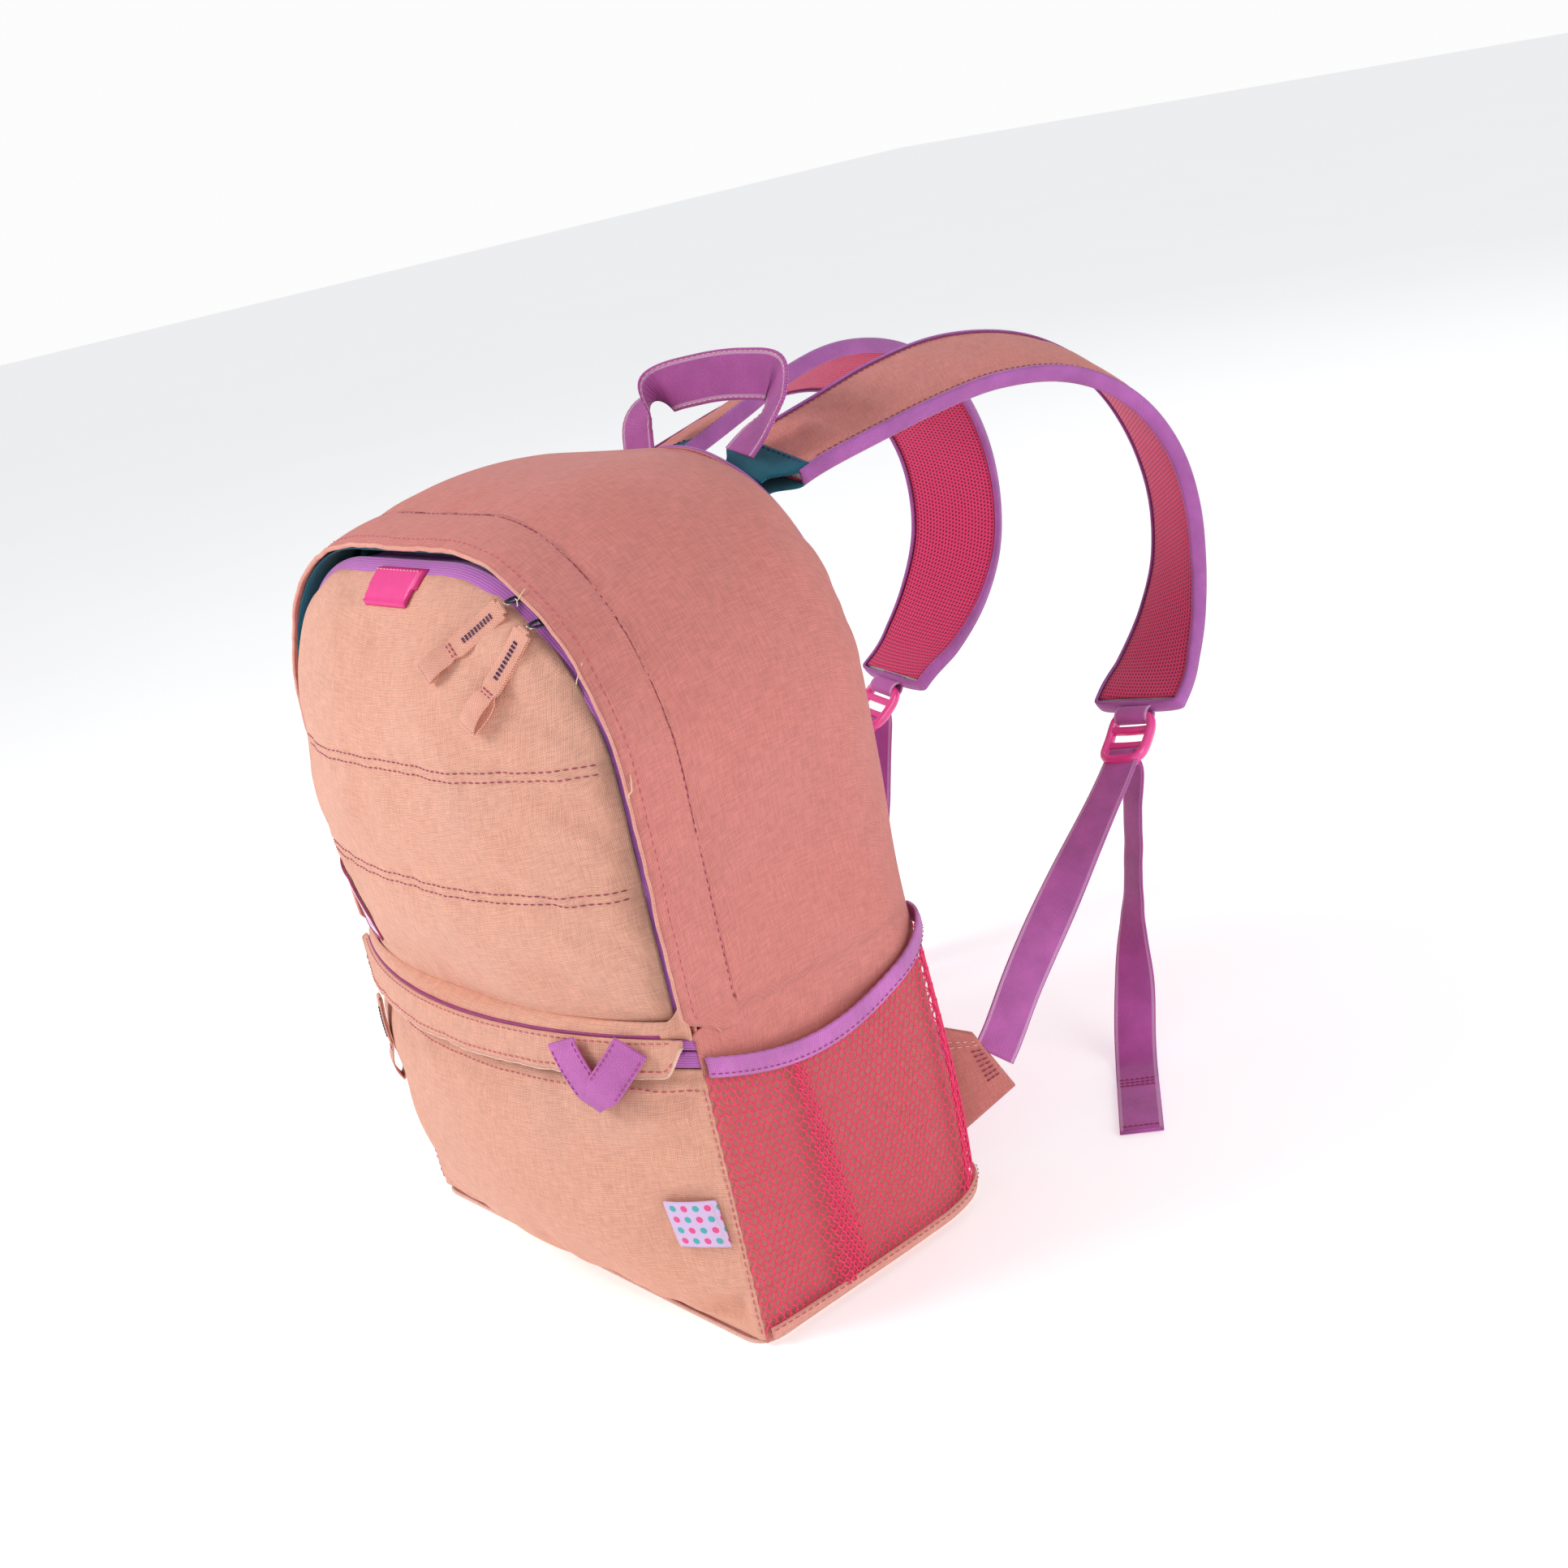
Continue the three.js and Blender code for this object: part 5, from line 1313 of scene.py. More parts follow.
def build_mesh_pocket(side, which):
    starts, ends = net_edges(42, 33)
    a = net_surface(side, starts[:, 0], starts[:, 1])
    b = net_surface(side, ends[:, 0], ends[:, 1])
    out = side_normal(np.where(side > 0, 0.3, 5.7), 0.0) * np.ones((len(a), 1))
    middle = (starts + ends) / 2
    ahead = net_surface(side, middle[:, 0], middle[:, 1], 1.0)
    out = unit(ahead - net_surface(side, middle[:, 0], middle[:, 1], 0.0) + 1e-6 * out)
    net = yarns(f"net_{which}", a, b, out, 0.46, net_yarn)
    flip_if_inside_out(net)
    belongs(net, "bag", "pink_mesh", f"mesh_pocket_{which}")
    # the doubled folds of net, denser than the rest
    for index, (centre, wide_low, wide_high) in enumerate(((0.33, 0.10, 0.035), (0.83, 0.045, 0.045))):
        s2, e2 = net_edges(42, 33)
        s2 = s2 + [0.011, 0.009]
        e2 = e2 + [0.011, 0.009]
        half = lerp(wide_low, wide_high, s2[:, 0]) / 2 * 1.2
        inside = (np.abs(s2[:, 1] - centre + 0.05 * s2[:, 0] * (index == 0)) < half) & (e2[:, 0] < 0.995)
        s2, e2 = s2[inside], e2[inside]
        a = net_surface(side, s2[:, 0], s2[:, 1], 1.1)
        b = net_surface(side, e2[:, 0], e2[:, 1], 1.1)
        fold = yarns(f"net_fold_{index + 1}_{which}", a, b, out[: len(a)], 0.5, net_yarn)
        flip_if_inside_out(fold)
        belongs(fold, "bag", "pink_mesh")
    # elastic edge, gathered a little
    u, v = np.meshgrid(np.linspace(0, 1, 11), np.linspace(0.004, 0.996, 130), indexing="ij")
    z = pocket_mouth_z(v) - lerp(9.5, -1.5, u)
    gather = 0.35 * np.sin(v * 210) * np.sin(math.pi * u) + 0.5 * np.sin(math.pi * u)
    puff = 5.0 * np.sin(math.pi * v) ** 0.6
    grid = side_place(side, v, z, 2.8 + puff + gather)
    sideways = np.array([side, 0, 0])
    band = cloth(f"elastic_band_{which}", grid.transpose(1, 0, 2), elastic, thickness=1.8, out=sideways)
    belongs(band, "bag", "purple_binding", f"elastic_binding_{which}")
    row = side_place(side, v[2], z[2], 3.5 + puff[2])
    row_out = unit(row - side_place(side, v[2], z[2], puff[2]))
    belongs(stitched(f"elastic_stitches_{which}", [(row, row_out)], dark_thread, length=2.4, gap=1.4,
                     radius=0.28), "bag", "purple_binding")
    # hem at the foot of the net
    v = np.linspace(0.01, 0.99, 110)
    z = np.linspace(5.5, 11.5, 5)
    z, v = np.meshgrid(z, v, indexing="ij")
    hem = side_place(side, v, z, 3.4 + net_puff(0.02, v) * 0.85 + 0.5 * np.sin(math.pi * (z - 5.5) / 6))
    hem_cloth = cloth(f"net_hem_{which}", hem.transpose(1, 0, 2), fold_edge, thickness=1.4, out=sideways)
    belongs(hem_cloth, "bag", "peach_fabric")
    row = side_place(side, v[3], z[3], 4.4 + net_puff(0.02, v[3]) * 0.85)
    row_out = unit(row - side_place(side, v[3], z[3], 0.0 * v[3]))
    belongs(stitched(f"net_hem_stitches_{which}", [(row, row_out)], rose_thread), "bag", "peach_fabric")


def build_label():
    u, v = np.meshgrid(np.linspace(0, 1, 25), np.linspace(0, 1, 27), indexing="ij")
    x = lerp(122.5, 148.5, u) - 1.5 * v
    z = lerp(58.5, 85.5, v) + 1.2 * u
    curl = 1.2 * np.sin(math.pi * u) * (0.4 + 0.6 * v) + 0.8 * v
    y = FRONT_Y - 2.6 - pocket_bulge(z) * pocket_crown(x) - curl
    grid = points(x, y, z)
    obj = cloth("side_label_cloth", grid, label, thickness=0.8, out=FORWARD)
    belongs(obj, "bag", "label_fabric", "side_label")
    n = np.tile([0.25, -0.97, 0.0], (25, 1))
    belongs(stitched("side_label_stitches", [(grid[-3, 1:-1] + [0, -0.4, 0], n)], pale_thread,
                     **FINE_STITCH),
            "bag", "label_fabric")


def build_bottom_piping():
    """The pale cord sewn round the bottom panel's edge."""
    half = HALF_WIDTH - 2
    narrow = float(back_half_width(0.0))
    corner = 14
    t = np.linspace(0, 1, 24)[:, None]

    def bend(a, b, c):
        return (1 - t) ** 2 * np.array(a) + 2 * t * (1 - t) * np.array(b) + t**2 * np.array(c)

    def straight(a, b):
        return lerp(np.array(a, float), np.array(b, float), np.linspace(0, 1, 30)[:, None])

    right = [straight((0, FRONT_Y), (half - corner, FRONT_Y)),
             bend((half - corner, FRONT_Y), (half, FRONT_Y), (half, FRONT_Y + corner)),
             straight((half, FRONT_Y + corner), (half, TURN_Y)),
             bend((half, TURN_Y), (half, BACK_Y), (narrow, BACK_Y)),
             straight((narrow, BACK_Y), (0, BACK_Y))]
    right = np.concatenate(right)
    outline = np.concatenate([right, right[::-1][1:-1] * [-1, 1]])
    line = np.column_stack([outline, np.full(len(outline), 1.2)])
    keep = np.concatenate([[True], np.linalg.norm(np.diff(line, axis=0), axis=1) > 0.3])
    line = evenly(np.concatenate([line[keep], line[:1]]), pitch=3.0)[:-1]
    t = loop_tangents(line)
    out = np.cross(t, [0, 0, 1.0])
    rings = np.linspace(0.03, 1.0, 22)[None, :, None]
    flat = np.concatenate([line, line[:1]])[:, None] * [1, 1, 0] * rings + [0, 0, 1.0]
    bottom = cloth("bottom_panel_cloth", flat, peach_painted_shade, thickness=1.6, out=DOWNWARD)
    belongs(bottom, "bag", "salmon_fabric", "bottom_panel")
    obj = swept("bottom_piping_cord", line + out * 1.3, oval(1.2, 1.15, 10), out,
                np.tile([0, 0, 1.0], (len(line), 1)), pale, loop=True)
    belongs(obj, "bag", "pale_piping", "bottom_seam_piping")


# ---- back ----
def back_pad_surface(u, v):
    """u runs across and v up the padded back; two upright channels and two level ones are sewn into it."""
    p = 3 * v
    rim_x, rim_z = back_outline(p)
    above = smooth((rim_z - BACK_ARCH_Z) / BACK_ARCH_RISE)
    z = np.maximum(rim_z, 9) - 10 * above
    x = u * np.maximum(rim_x - 10, 4)
    return x, z


def build_back():
    u = np.linspace(-1, 1, 71)
    v = np.concatenate([np.linspace(0.02, 0.33, 45), np.linspace(0.34, 1.0, 46)])
    u, v = np.meshgrid(u, v, indexing="ij")
    x, z = back_pad_surface(u, v)
    edge = smooth((1 - np.abs(u)) * 6) * smooth((z - 9) / 14)
    crest = np.minimum(edge, smooth((BACK_ARCH_Z + BACK_ARCH_RISE - 10 - z) / 16))
    channel = np.minimum(np.abs(np.abs(x) - 34), np.minimum(np.abs(z - 150), np.abs(z - 262)))
    pad = 1 - 0.75 * np.exp(-((channel / 5.0) ** 2))
    swell = 3 * np.sqrt(np.maximum(0, 1 - u**2))
    y = BACK_Y + 1.2 + swell * 0.6 + 5.0 * crest * pad
    grid = points(x, y, z)
    free = smooth(np.minimum(crest, pad) * 1.2 - 0.2)
    grid = facing_out(grid, np.array([0, 1, 0]))
    grid = settled(grid, free, growth=0.02, pressure=1.0, cap=1.6, inward=0.4, bending=0.4)
    obj = cloth("back_pad_facing", finer(grid, 2), spacer, thickness=1.2)
    belongs(obj, "bag", "pink_air_mesh", "back_mesh_facing", "back_foam_pad")
    u, v = np.meshgrid(np.linspace(-1, 1, 41), np.linspace(0.0, 1.0, 80), indexing="ij")
    rim = side_surface(3 * v, TURN_Y, 76)
    wall = cloth("back_panel_cloth", points(u * (rim[..., 0] + 3.0), BACK_Y - 0.7,
                                            np.maximum(rim[..., 2], 2.4)), peach_painted_shade,
                 thickness=1.2, out=BACKWARD)
    belongs(wall, "bag", "salmon_fabric", "back_panel")
    runs = []
    for level in (150, 262):
        xs = np.linspace(-78, 78, 90)
        runs.append((points(xs, BACK_Y + 4.4 + 0 * xs, level + 0 * xs), np.tile([0, 1.0, 0], (90, 1))))
    for upright in (-34, 34):
        zs = np.linspace(24, 380, 160)
        runs.append((points(upright + 0 * zs, BACK_Y + 4.7 + 0 * zs, zs), np.tile([0, 1.0, 0], (160, 1))))
    belongs(stitched("back_channel_stitches", runs, dark_thread), "bag", "pink_air_mesh")
    stations = even_stations(0.0, 6.0, 3.0)
    line = side_surface(stations, TURN_Y, 76)
    line[:, 1] = BACK_Y + 1.6
    along = tangents(line)
    out = unit(np.cross(along, [0, 1.0, 0]))
    centre = np.array([0, BACK_Y, 200.0])
    out = np.where(((line - centre) * out).sum(axis=1, keepdims=True) < 0, -out, out)
    across = np.tile([0, 1.0, 0], (len(line), 1))
    obj = swept("back_seam_binding_cloth", line - out * 1.0, rounded_bar(1.6, 1.6, 1.2), across, out,
                binding)
    belongs(obj, "bag", "purple_binding", "back_seam_binding")


# ---- straps ----
STRAP_LINE = [[46, 90, 397], [50, 120, 405], [57, 165, 414], [64, 208, 422], [70, 252, 425],
              [77, 297, 418], [82, 331, 403], [87, 360, 378], [91, 378, 345], [94, 384, 310],
              [96, 379, 277], [99, 362, 246], [103, 337, 220], [107, 312, 203]]
STRAP_EDGE = [[1, 0, -0.25], [1, 0, -0.2], [0.97, -0.05, -0.25], [0.95, -0.08, -0.33],
              [0.94, -0.1, -0.36], [0.93, -0.25, -0.33], [0.92, -0.3, -0.3], [0.9, -0.4, -0.22],
              [0.88, -0.45, -0.1], [0.87, -0.48, 0], [0.87, -0.48, 0],
              [0.87, -0.45, -0.1], [0.87, -0.42, -0.2], [0.87, -0.4, -0.25]]


def strap_frames(t):
    """Centre, outer direction and upward direction of the right strap at fractions t of its line."""
    t = np.asarray(t, float)
    line = spline(STRAP_LINE, t)
    ahead = spline(STRAP_LINE, np.minimum(t + 0.004, 1))
    behind = spline(STRAP_LINE, np.maximum(t - 0.004, 0))
    along = unit(ahead - behind)
    a = spline(STRAP_EDGE, t)
    a = unit(a - along * (a * along).sum(axis=-1, keepdims=True))
    return line, a, unit(np.cross(a, along)), along


def strap_layer(side, t, v, half_width, height):
    line, a, b, _ = strap_frames(t)
    p = line[:, None] + a[:, None] * (half_width * v)[None, :, None] + b[:, None] * height[..., None]
    return mirrored(p, side)


def with_strap(obj, side, which, slot, *nodes):
    root, _, _, _ = strap_frames(np.array([0.03, 0.17]))
    start, end = mirrored(root, side)
    return bends(obj, "bag", f"strap_{which}", tuple(start), tuple(end), slot, *nodes)


def build_strap(side, which):
    t = np.linspace(STRAP_START - 0.004, 1, 150)
    v = np.linspace(-1, 1, 25)
    crown = 1 - np.abs(v) ** 4
    s = t * 480
    # a padded strap: crowned over the foam, pinched at its rims, with soft cross creases on the inner bend
    crease = 0.45 * waves(s, 41 if side > 0 else 43, 40)[:, None] * crown[None, :]
    top = 3.5 + 1.0 * crown[None, :] + crease * 0.8
    grid = strap_layer(side, t, v, STRAP_HALF_WIDTH, np.broadcast_to(top, (len(t), len(v))).copy())
    upward = mirrored(strap_frames(t)[2], side)[:, None]
    rim = np.minimum(np.arange(len(v)), np.arange(len(v))[::-1])
    free = smooth(rim / 4)[None, :] * smooth(np.minimum(t - t[0], 1 - t) * 20)[:, None]
    if (normals(grid) * upward).sum() < 0:
        grid = grid[:, ::-1]
    grid = settled(grid, free, growth=0.02, pressure=0.8, cap=1.2, inward=0.2, bending=0.4)
    # The strap top is the peach cloth, given its darker copy as painted shade.
    top_obj = cloth(f"strap_top_{which}", finer(grid, 2), peach_painted_shade, thickness=1.1)
    with_strap(top_obj, side, which, "peach_fabric", f"strap_top_fabric_{which}")
    core = strap_layer(side, t, v, STRAP_HALF_WIDTH - 1, np.full((len(t), len(v)), 2.4))
    foam_obj = cloth(f"strap_pad_{which}", core, foam, thickness=5.0, out=upward)
    with_strap(foam_obj, side, which, "foam", f"strap_foam_{which}")
    depth = np.broadcast_to(-3.2 - 1.2 * crown[None, :] + crease * 0.5, (len(t), len(v))).copy()
    under = strap_layer(side, t, v, STRAP_HALF_WIDTH, depth)
    mesh_obj = cloth(f"strap_underside_{which}", under, spacer, thickness=1.2, out=-upward)
    with_strap(mesh_obj, side, which, "pink_air_mesh", f"strap_mesh_{which}")
    # binding down one edge, round the end and back
    t = np.linspace(STRAP_START - 0.006, 1, 120)
    line, a, b, along = strap_frames(t)
    reach = STRAP_HALF_WIDTH + 0.9
    turn = np.linspace(0, math.pi, 26)[1:-1]
    corner = 0.55
    sideways = (np.sign(np.cos(turn)) * np.abs(np.cos(turn)) ** corner)[:, None]
    onward = (4.2 * np.sin(turn) ** corner)[:, None]
    end_line = line[-1] + a[-1] * reach * sideways + along[-1] * onward
    path = np.concatenate([line + a * reach, end_line, (line - a * reach)[::-1]])
    round_end = unit(a[-1] * np.cos(turn)[:, None] + along[-1] * np.sin(turn)[:, None])
    outward = np.concatenate([a, round_end, -a[::-1]])
    upward = np.concatenate([b, np.tile(b[-1], (len(turn), 1)), b[::-1]])
    path, outward, upward = mirrored(path, side), mirrored(outward, side), mirrored(upward, side)
    shape = np.array([[-1.6, -4.7], [0.4, -4.9], [1.3, -3.6], [1.6, 0], [1.3, 3.6], [0.4, 4.9], [-1.6, 4.7],
                      [-0.4, 3.4], [-0.2, 0], [-0.4, -3.4]])
    edge = swept(f"strap_edge_{which}", path, shape, outward, upward, binding)
    with_strap(edge, side, which, "purple_binding", f"strap_binding_{which}")
    runs = []
    for way in (-1, 1):
        row = mirrored(line + a * (way * (reach - 3.2)) + b * 4.25, side)
        runs.append((row[4:-4], mirrored(b, side)[4:-4]))
    with_strap(stitched(f"strap_stitches_{which}", runs, dark_thread, length=2.6), side, which,
               "purple_binding")
    # the teal root, sewn across the strap
    t = np.linspace(0.012, STRAP_START + 0.012, 26)
    v = np.linspace(-1, 1, 21)
    width = lerp(17.5, STRAP_HALF_WIDTH + 1.2, smooth((t - 0.02) / 0.035))
    line, a, b, _ = strap_frames(t)
    over = 5.0 + 0.7 * (1 - v**4)
    middle = line[:, None] + a[:, None] * (width[:, None] * v)[..., None]
    upper = mirrored(middle + b[:, None] * over[None, :, None], side)
    upward = mirrored(b, side)[:, None]
    root = cloth(f"strap_root_cloth_{which}", upper, teal, thickness=1.4, out=upward)
    with_strap(root, side, which, "teal_fabric", f"strap_root_{which}")
    lower = mirrored(middle - b[:, None] * over[None, :, None], side)
    root = cloth(f"strap_root_under_{which}", lower, teal, thickness=1.4, out=-upward)
    with_strap(root, side, which, "teal_fabric")
    row_t = np.full(40, STRAP_START + 0.007)
    line, a, b, _ = strap_frames(row_t)
    across = np.linspace(-27, 27, 40)[:, None]
    row = mirrored(line + a * across + b * 5.9, side)
    with_strap(stitched(f"strap_root_stitches_{which}", [(row, mirrored(b, side))], navy_thread), side,
               which, "teal_fabric")


# ---- buckles and webbing ----
LOCK_DIRECTION = unit(np.array([6.0, -28.0, -22.0]))


def lock_axes(side):
    line, a, _, _ = strap_frames(np.array([1.0]))
    origin = line[0] + LOCK_DIRECTION * LOCK_GAP
    across = unit(a[0] - LOCK_DIRECTION * (a[0] @ LOCK_DIRECTION))
    face = unit(np.cross(across, LOCK_DIRECTION))
    return [mirrored(c, side) for c in (origin, across, LOCK_DIRECTION, face)]


def bar(name, ends, half_a, half_b, across, out, material, radius=None, bow=0.0, count=14):
    """A straight or slightly bowed bar between two points."""
    t = np.linspace(0, 1, count)[:, None]
    line = lerp(np.array(ends[0]), np.array(ends[1]), t) + out * (bow * 4 * t * (1 - t))
    return swept(name, line, rounded_bar(half_a, half_b, radius), np.tile(across, (count, 1)),
                 np.tile(out, (count, 1)), material)


def joined(name, objects):
    bpy.ops.object.select_all(action="DESELECT")
    for obj in objects:
        obj.select_set(True)
    bpy.context.view_layer.objects.active = objects[0]
    bpy.ops.object.join()
    objects[0].name = name
    return objects[0]


def build_lock(side, which):
    """A curved ladder lock: a rounded frame, two cross bars and a lifted thumb edge."""
    origin, across, along, face = lock_axes(side)

    def at(a, l, f=0.0):
        dome = 2.4 * math.sin(math.pi * min(max(l / LOCK_LENGTH, 0), 1))
        return origin + across * a + along * l + face * (f + dome - 1.2)

    turn = np.linspace(0, 2 * math.pi, 64, endpoint=False)
    power = 0.45
    ring = []
    for t in turn:
        c, s = math.cos(t), math.sin(t)
        a = (LOCK_HALF_WIDTH - 3.2) * squared_off(c, power)
        l = LOCK_LENGTH / 2 + (LOCK_LENGTH / 2 - 2.6) * squared_off(s, power)
        ring.append(at(a, l))
    ring = np.array(ring)
    tangent = loop_tangents(ring)
    out = unit(np.cross(tangent, face))
    parts = [swept("lock_frame", ring, oval(2.6, 3.6, 14), out, np.tile(face, (64, 1)), plastic, loop=True)]
    for l, half_b, lift in ((12.5, 2.3, -0.6), (22.5, 2.3, 0.9)):
        parts.append(bar("lock_bar", (at(-13.5, l, lift), at(13.5, l, lift)), 2.4, half_b, along, face,
                         plastic, 1.4, bow=0.7))
    lip = [at(across, LOCK_LENGTH - 3.0, 1.6) for across in (-11, 11)]
    parts.append(bar("lock_lip", lip, 2.6, 3.0, along, face, plastic, 2.0, bow=0.6))
    obj = joined(f"ladder_lock_body_{which}", parts)
    belongs(obj, f"lock_{which}", "pink_plastic", f"ladder_lock_{which}")
    # the short loop of webbing that holds the buckle to the strap, wound over its first bar
    t = np.linspace(0, 1, 40)
    line_end, a, b, direction = strap_frames(np.array([1.0]))
    start = line_end[0] + b[0] * 0.8 - direction[0] * 3
    first_bar, _, _, face_right = lock_axes(1)
    around_bar = ((1.0, 3.6), (5.6, 3.0), (7.6, -0.6), (5.4, -4.4), (0.5, -4.6))
    knots = [start, line_end[0] + LOCK_DIRECTION * 4 + b[0] * 1.4]
    knots += [first_bar + LOCK_DIRECTION * far + face_right * high for far, high in around_bar]
    knots += [line_end[0] + LOCK_DIRECTION * 4 - b[0] * 2.0, line_end[0] - b[0] * 1.6 - direction[0] * 3]
    line = mirrored(spline(knots, np.linspace(0, 1, 60)), side)
    sideways = np.tile(across, (60, 1))
    out = unit(np.cross(tangents(line), sideways))
    loop = swept(f"lock_loop_{which}", line, rounded_bar(11.5, 0.6, 0.4), sideways, out, purple_web)
    belongs(loop, f"strap_{which}", "purple_webbing")


def ribbon(name, line, across, half_width, thickness, material, scale=None):
    out = unit(np.cross(across, tangents(line)))
    return swept(name, line, rounded_bar(half_width, thickness / 2, thickness * 0.45), across, out,
                 material, scale=scale), out


def facing(line, across):
    along = tangents(line)
    return unit(across - along * (across * along).sum(axis=1, keepdims=True))


def lock_end():
    origin, _, along, _ = lock_axes(1)
    return origin + along * LOCK_LENGTH


def build_webbing(side, which):
    """From the buckle's bars to the anchor: edge-on at the buckle, face-on at the anchor."""
    end = lock_end()
    knots = [end - LOCK_DIRECTION * 10, end + LOCK_DIRECTION * 2, (121, 215, 133), (127, 158, 92),
             (131, 130, 69), (130.5, 121, 60)]
    u = np.linspace(0, 1, 120)
    line = evenly(spline(knots, u), count=110)
    u = np.linspace(0, 1, len(line))[:, None]
    at_lock, at_anchor = np.array([-0.87, 0.4, 0.25]), np.array([-0.5, -0.45, 0.75])
    across = facing(line, lerp(at_lock, at_anchor, smooth(u * 1.15 - 0.1)))
    line = line + np.array([0, 0, -1.0]) * np.sin(math.pi * u) * 1.0
    line, across = mirrored(line, side), mirrored(across, side)
    obj, _ = ribbon(f"webbing_{which}", line, across, WEBBING_HALF_WIDTH, WEBBING, purple_web)
    lock_origin = mirrored(end - LOCK_DIRECTION * 12, side)
    far = mirrored(end + LOCK_DIRECTION * 26, side)
    bends(obj, f"strap_{which}", f"lock_{which}", tuple(far), tuple(lock_origin), "purple_webbing",
          f"strap_webbing_{which}")


TAIL_POINTS = [[114, 291, 172], [114, 284, 148], [115.5, 274, 110], [118, 263, 70], [120.5, 253, 36],
               [124, 244, 14], [131, 234, 3.2], [143, 220, 1.3], [165, 195, 1.3], [187, 170, 1.3]]


def build_tail(side, which):
    """The loose end, which hangs to the floor and lies there; its tip is folded back and sewn."""
    end = lock_end()
    top = [end - LOCK_DIRECTION * 16 + np.array([0, 0, -4.0])]
    line = evenly(spline(np.concatenate([top, np.array(TAIL_POINTS)]), np.linspace(0, 1, 300)), count=150)
    u = np.linspace(0, 1, len(line))[:, None]
    turned = smooth((u - 0.28) / 0.38)
    across = facing(line, lerp(np.array([0.87, -0.45, -0.1]), np.array([0.75, 0.66, 0.0]), turned))
    sway = 1.3 * waves(u[:, 0] * 290, 51, 150)[:, None] * np.sin(math.pi * clamp01(u / 0.6))
    line = line + unit(np.cross(across, tangents(line))) * sway
    line, across = mirrored(line, side), mirrored(across, side)
    body, out = ribbon("tail", line, across, WEBBING_HALF_WIDTH, WEBBING * 0.85, tail_web)
    # the folded end: a second layer over the last stretch, closed round the tip
    fold = line[-34:] + out[-34:] * np.where(out[-34:, 2:] > 0, 1, -1) * 1.25
    fold_obj, _ = ribbon("fold", fold, across[-34:], WEBBING_HALF_WIDTH - 0.4, WEBBING * 0.8, tail_web)
    obj = joined(f"tail_webbing_{which}", [body, fold_obj])
    top_point = mirrored(np.array(TAIL_POINTS[0], float) + np.array([0, 3, 10.0]), side)
    low_point = mirrored(np.array(TAIL_POINTS[1], float), side)
    bends(obj, f"lock_{which}", f"tail_{which}", tuple(top_point), tuple(low_point), "purple_webbing",
          f"strap_tail_{which}")
    runs = []
    up = np.tile([0, 0, 1.0], (20, 1))
    for k in (-33, -31, -29, -3):
        width = np.linspace(-10.5, 10.5, 20)[:, None]
        runs.append((line[k] + across[k] * width + np.array([0, 0, 2.3]), up))
    belongs(stitched(f"tail_tack_{which}", runs, dark_thread, length=2.4, gap=0.4, radius=0.4),
            f"tail_{which}", "purple_webbing")


def build_anchor(side, which):
    """A folded triangle of the peach cloth, in its darker copy as painted shade, in the back seam, holding
    the webbing's end.
    """
    root = np.array([[110.0, 93.4, 12.0], [107.0, 93.4, 87.0]])
    tip = np.array([[137.0, 127.0, 40.0], [124.0, 114.0, 76.0]])
    u, v = np.meshgrid(np.linspace(0, 1, 29), np.linspace(0, 1, 29), indexing="ij")
    u3, v3 = u[..., None], v[..., None]
    low = lerp(root[0], tip[0], u3)
    high = lerp(root[1], tip[1], u3)
    grid = lerp(low, high, v3)
    normal = unit(np.cross(tip[0] - root[0], root[1] - root[0]))
    if normal[0] < 0:
        normal = -normal
    soft = 1.6 * np.sin(math.pi * u) * np.sin(math.pi * v) + 0.7 * np.exp(-((v - 0.93) / 0.05) ** 2)
    layers = []
    for height, name in ((1.3, "outer"), (-1.3, "inner")):
        layer = mirrored(grid + normal * (height + (soft if height > 0 else -soft * 0.5))[..., None], side)
        part = cloth(name, layer, peach_painted_shade, thickness=1.1, out=mirrored(normal, side) * np.sign(height))
        layers.append(part)
    obj = joined(f"anchor_cloth_{which}", layers)
    belongs(obj, "bag", "salmon_fabric", f"lower_anchor_{which}")
    rows = []
    face = mirrored(normal, side)
    for level in (0.86, 0.80):
        t = np.linspace(0.05, 0.95, 40)
        height = 1.9 + 1.6 * np.sin(math.pi * t) * math.sin(math.pi * level)
        line = on_grid(grid, t, np.full(40, level)) + normal * height[:, None]
        rows.append((mirrored(line, side), np.tile(face, (40, 1))))
    belongs(stitched(f"anchor_stitches_{which}", rows, pale_thread), "bag", "salmon_fabric")
    box_rows = []
    for level in np.linspace(0.30, 0.72, 7):
        t = np.linspace(0.74, 0.95, 20)
        height = 2.0 + 1.6 * np.sin(math.pi * t) * math.sin(math.pi * level)
        line = on_grid(grid, t, np.full(20, level)) + normal * height[:, None]
        box_rows.append((mirrored(line, side), np.tile(face, (20, 1))))
    belongs(stitched(f"anchor_tack_{which}", box_rows, dark_thread, length=2.4, gap=0.3, radius=0.45),
            "bag", "salmon_fabric")


# ---- handle ----
HANDLE_POINTS = [[-42, 96, 414], [-42, 100, 430], [-32, 109, 444], [-5, 120, 449], [25, 128, 449],
                 [46, 131, 445], [52, 122, 433], [49, 107, 421], [46, 97, 413]]


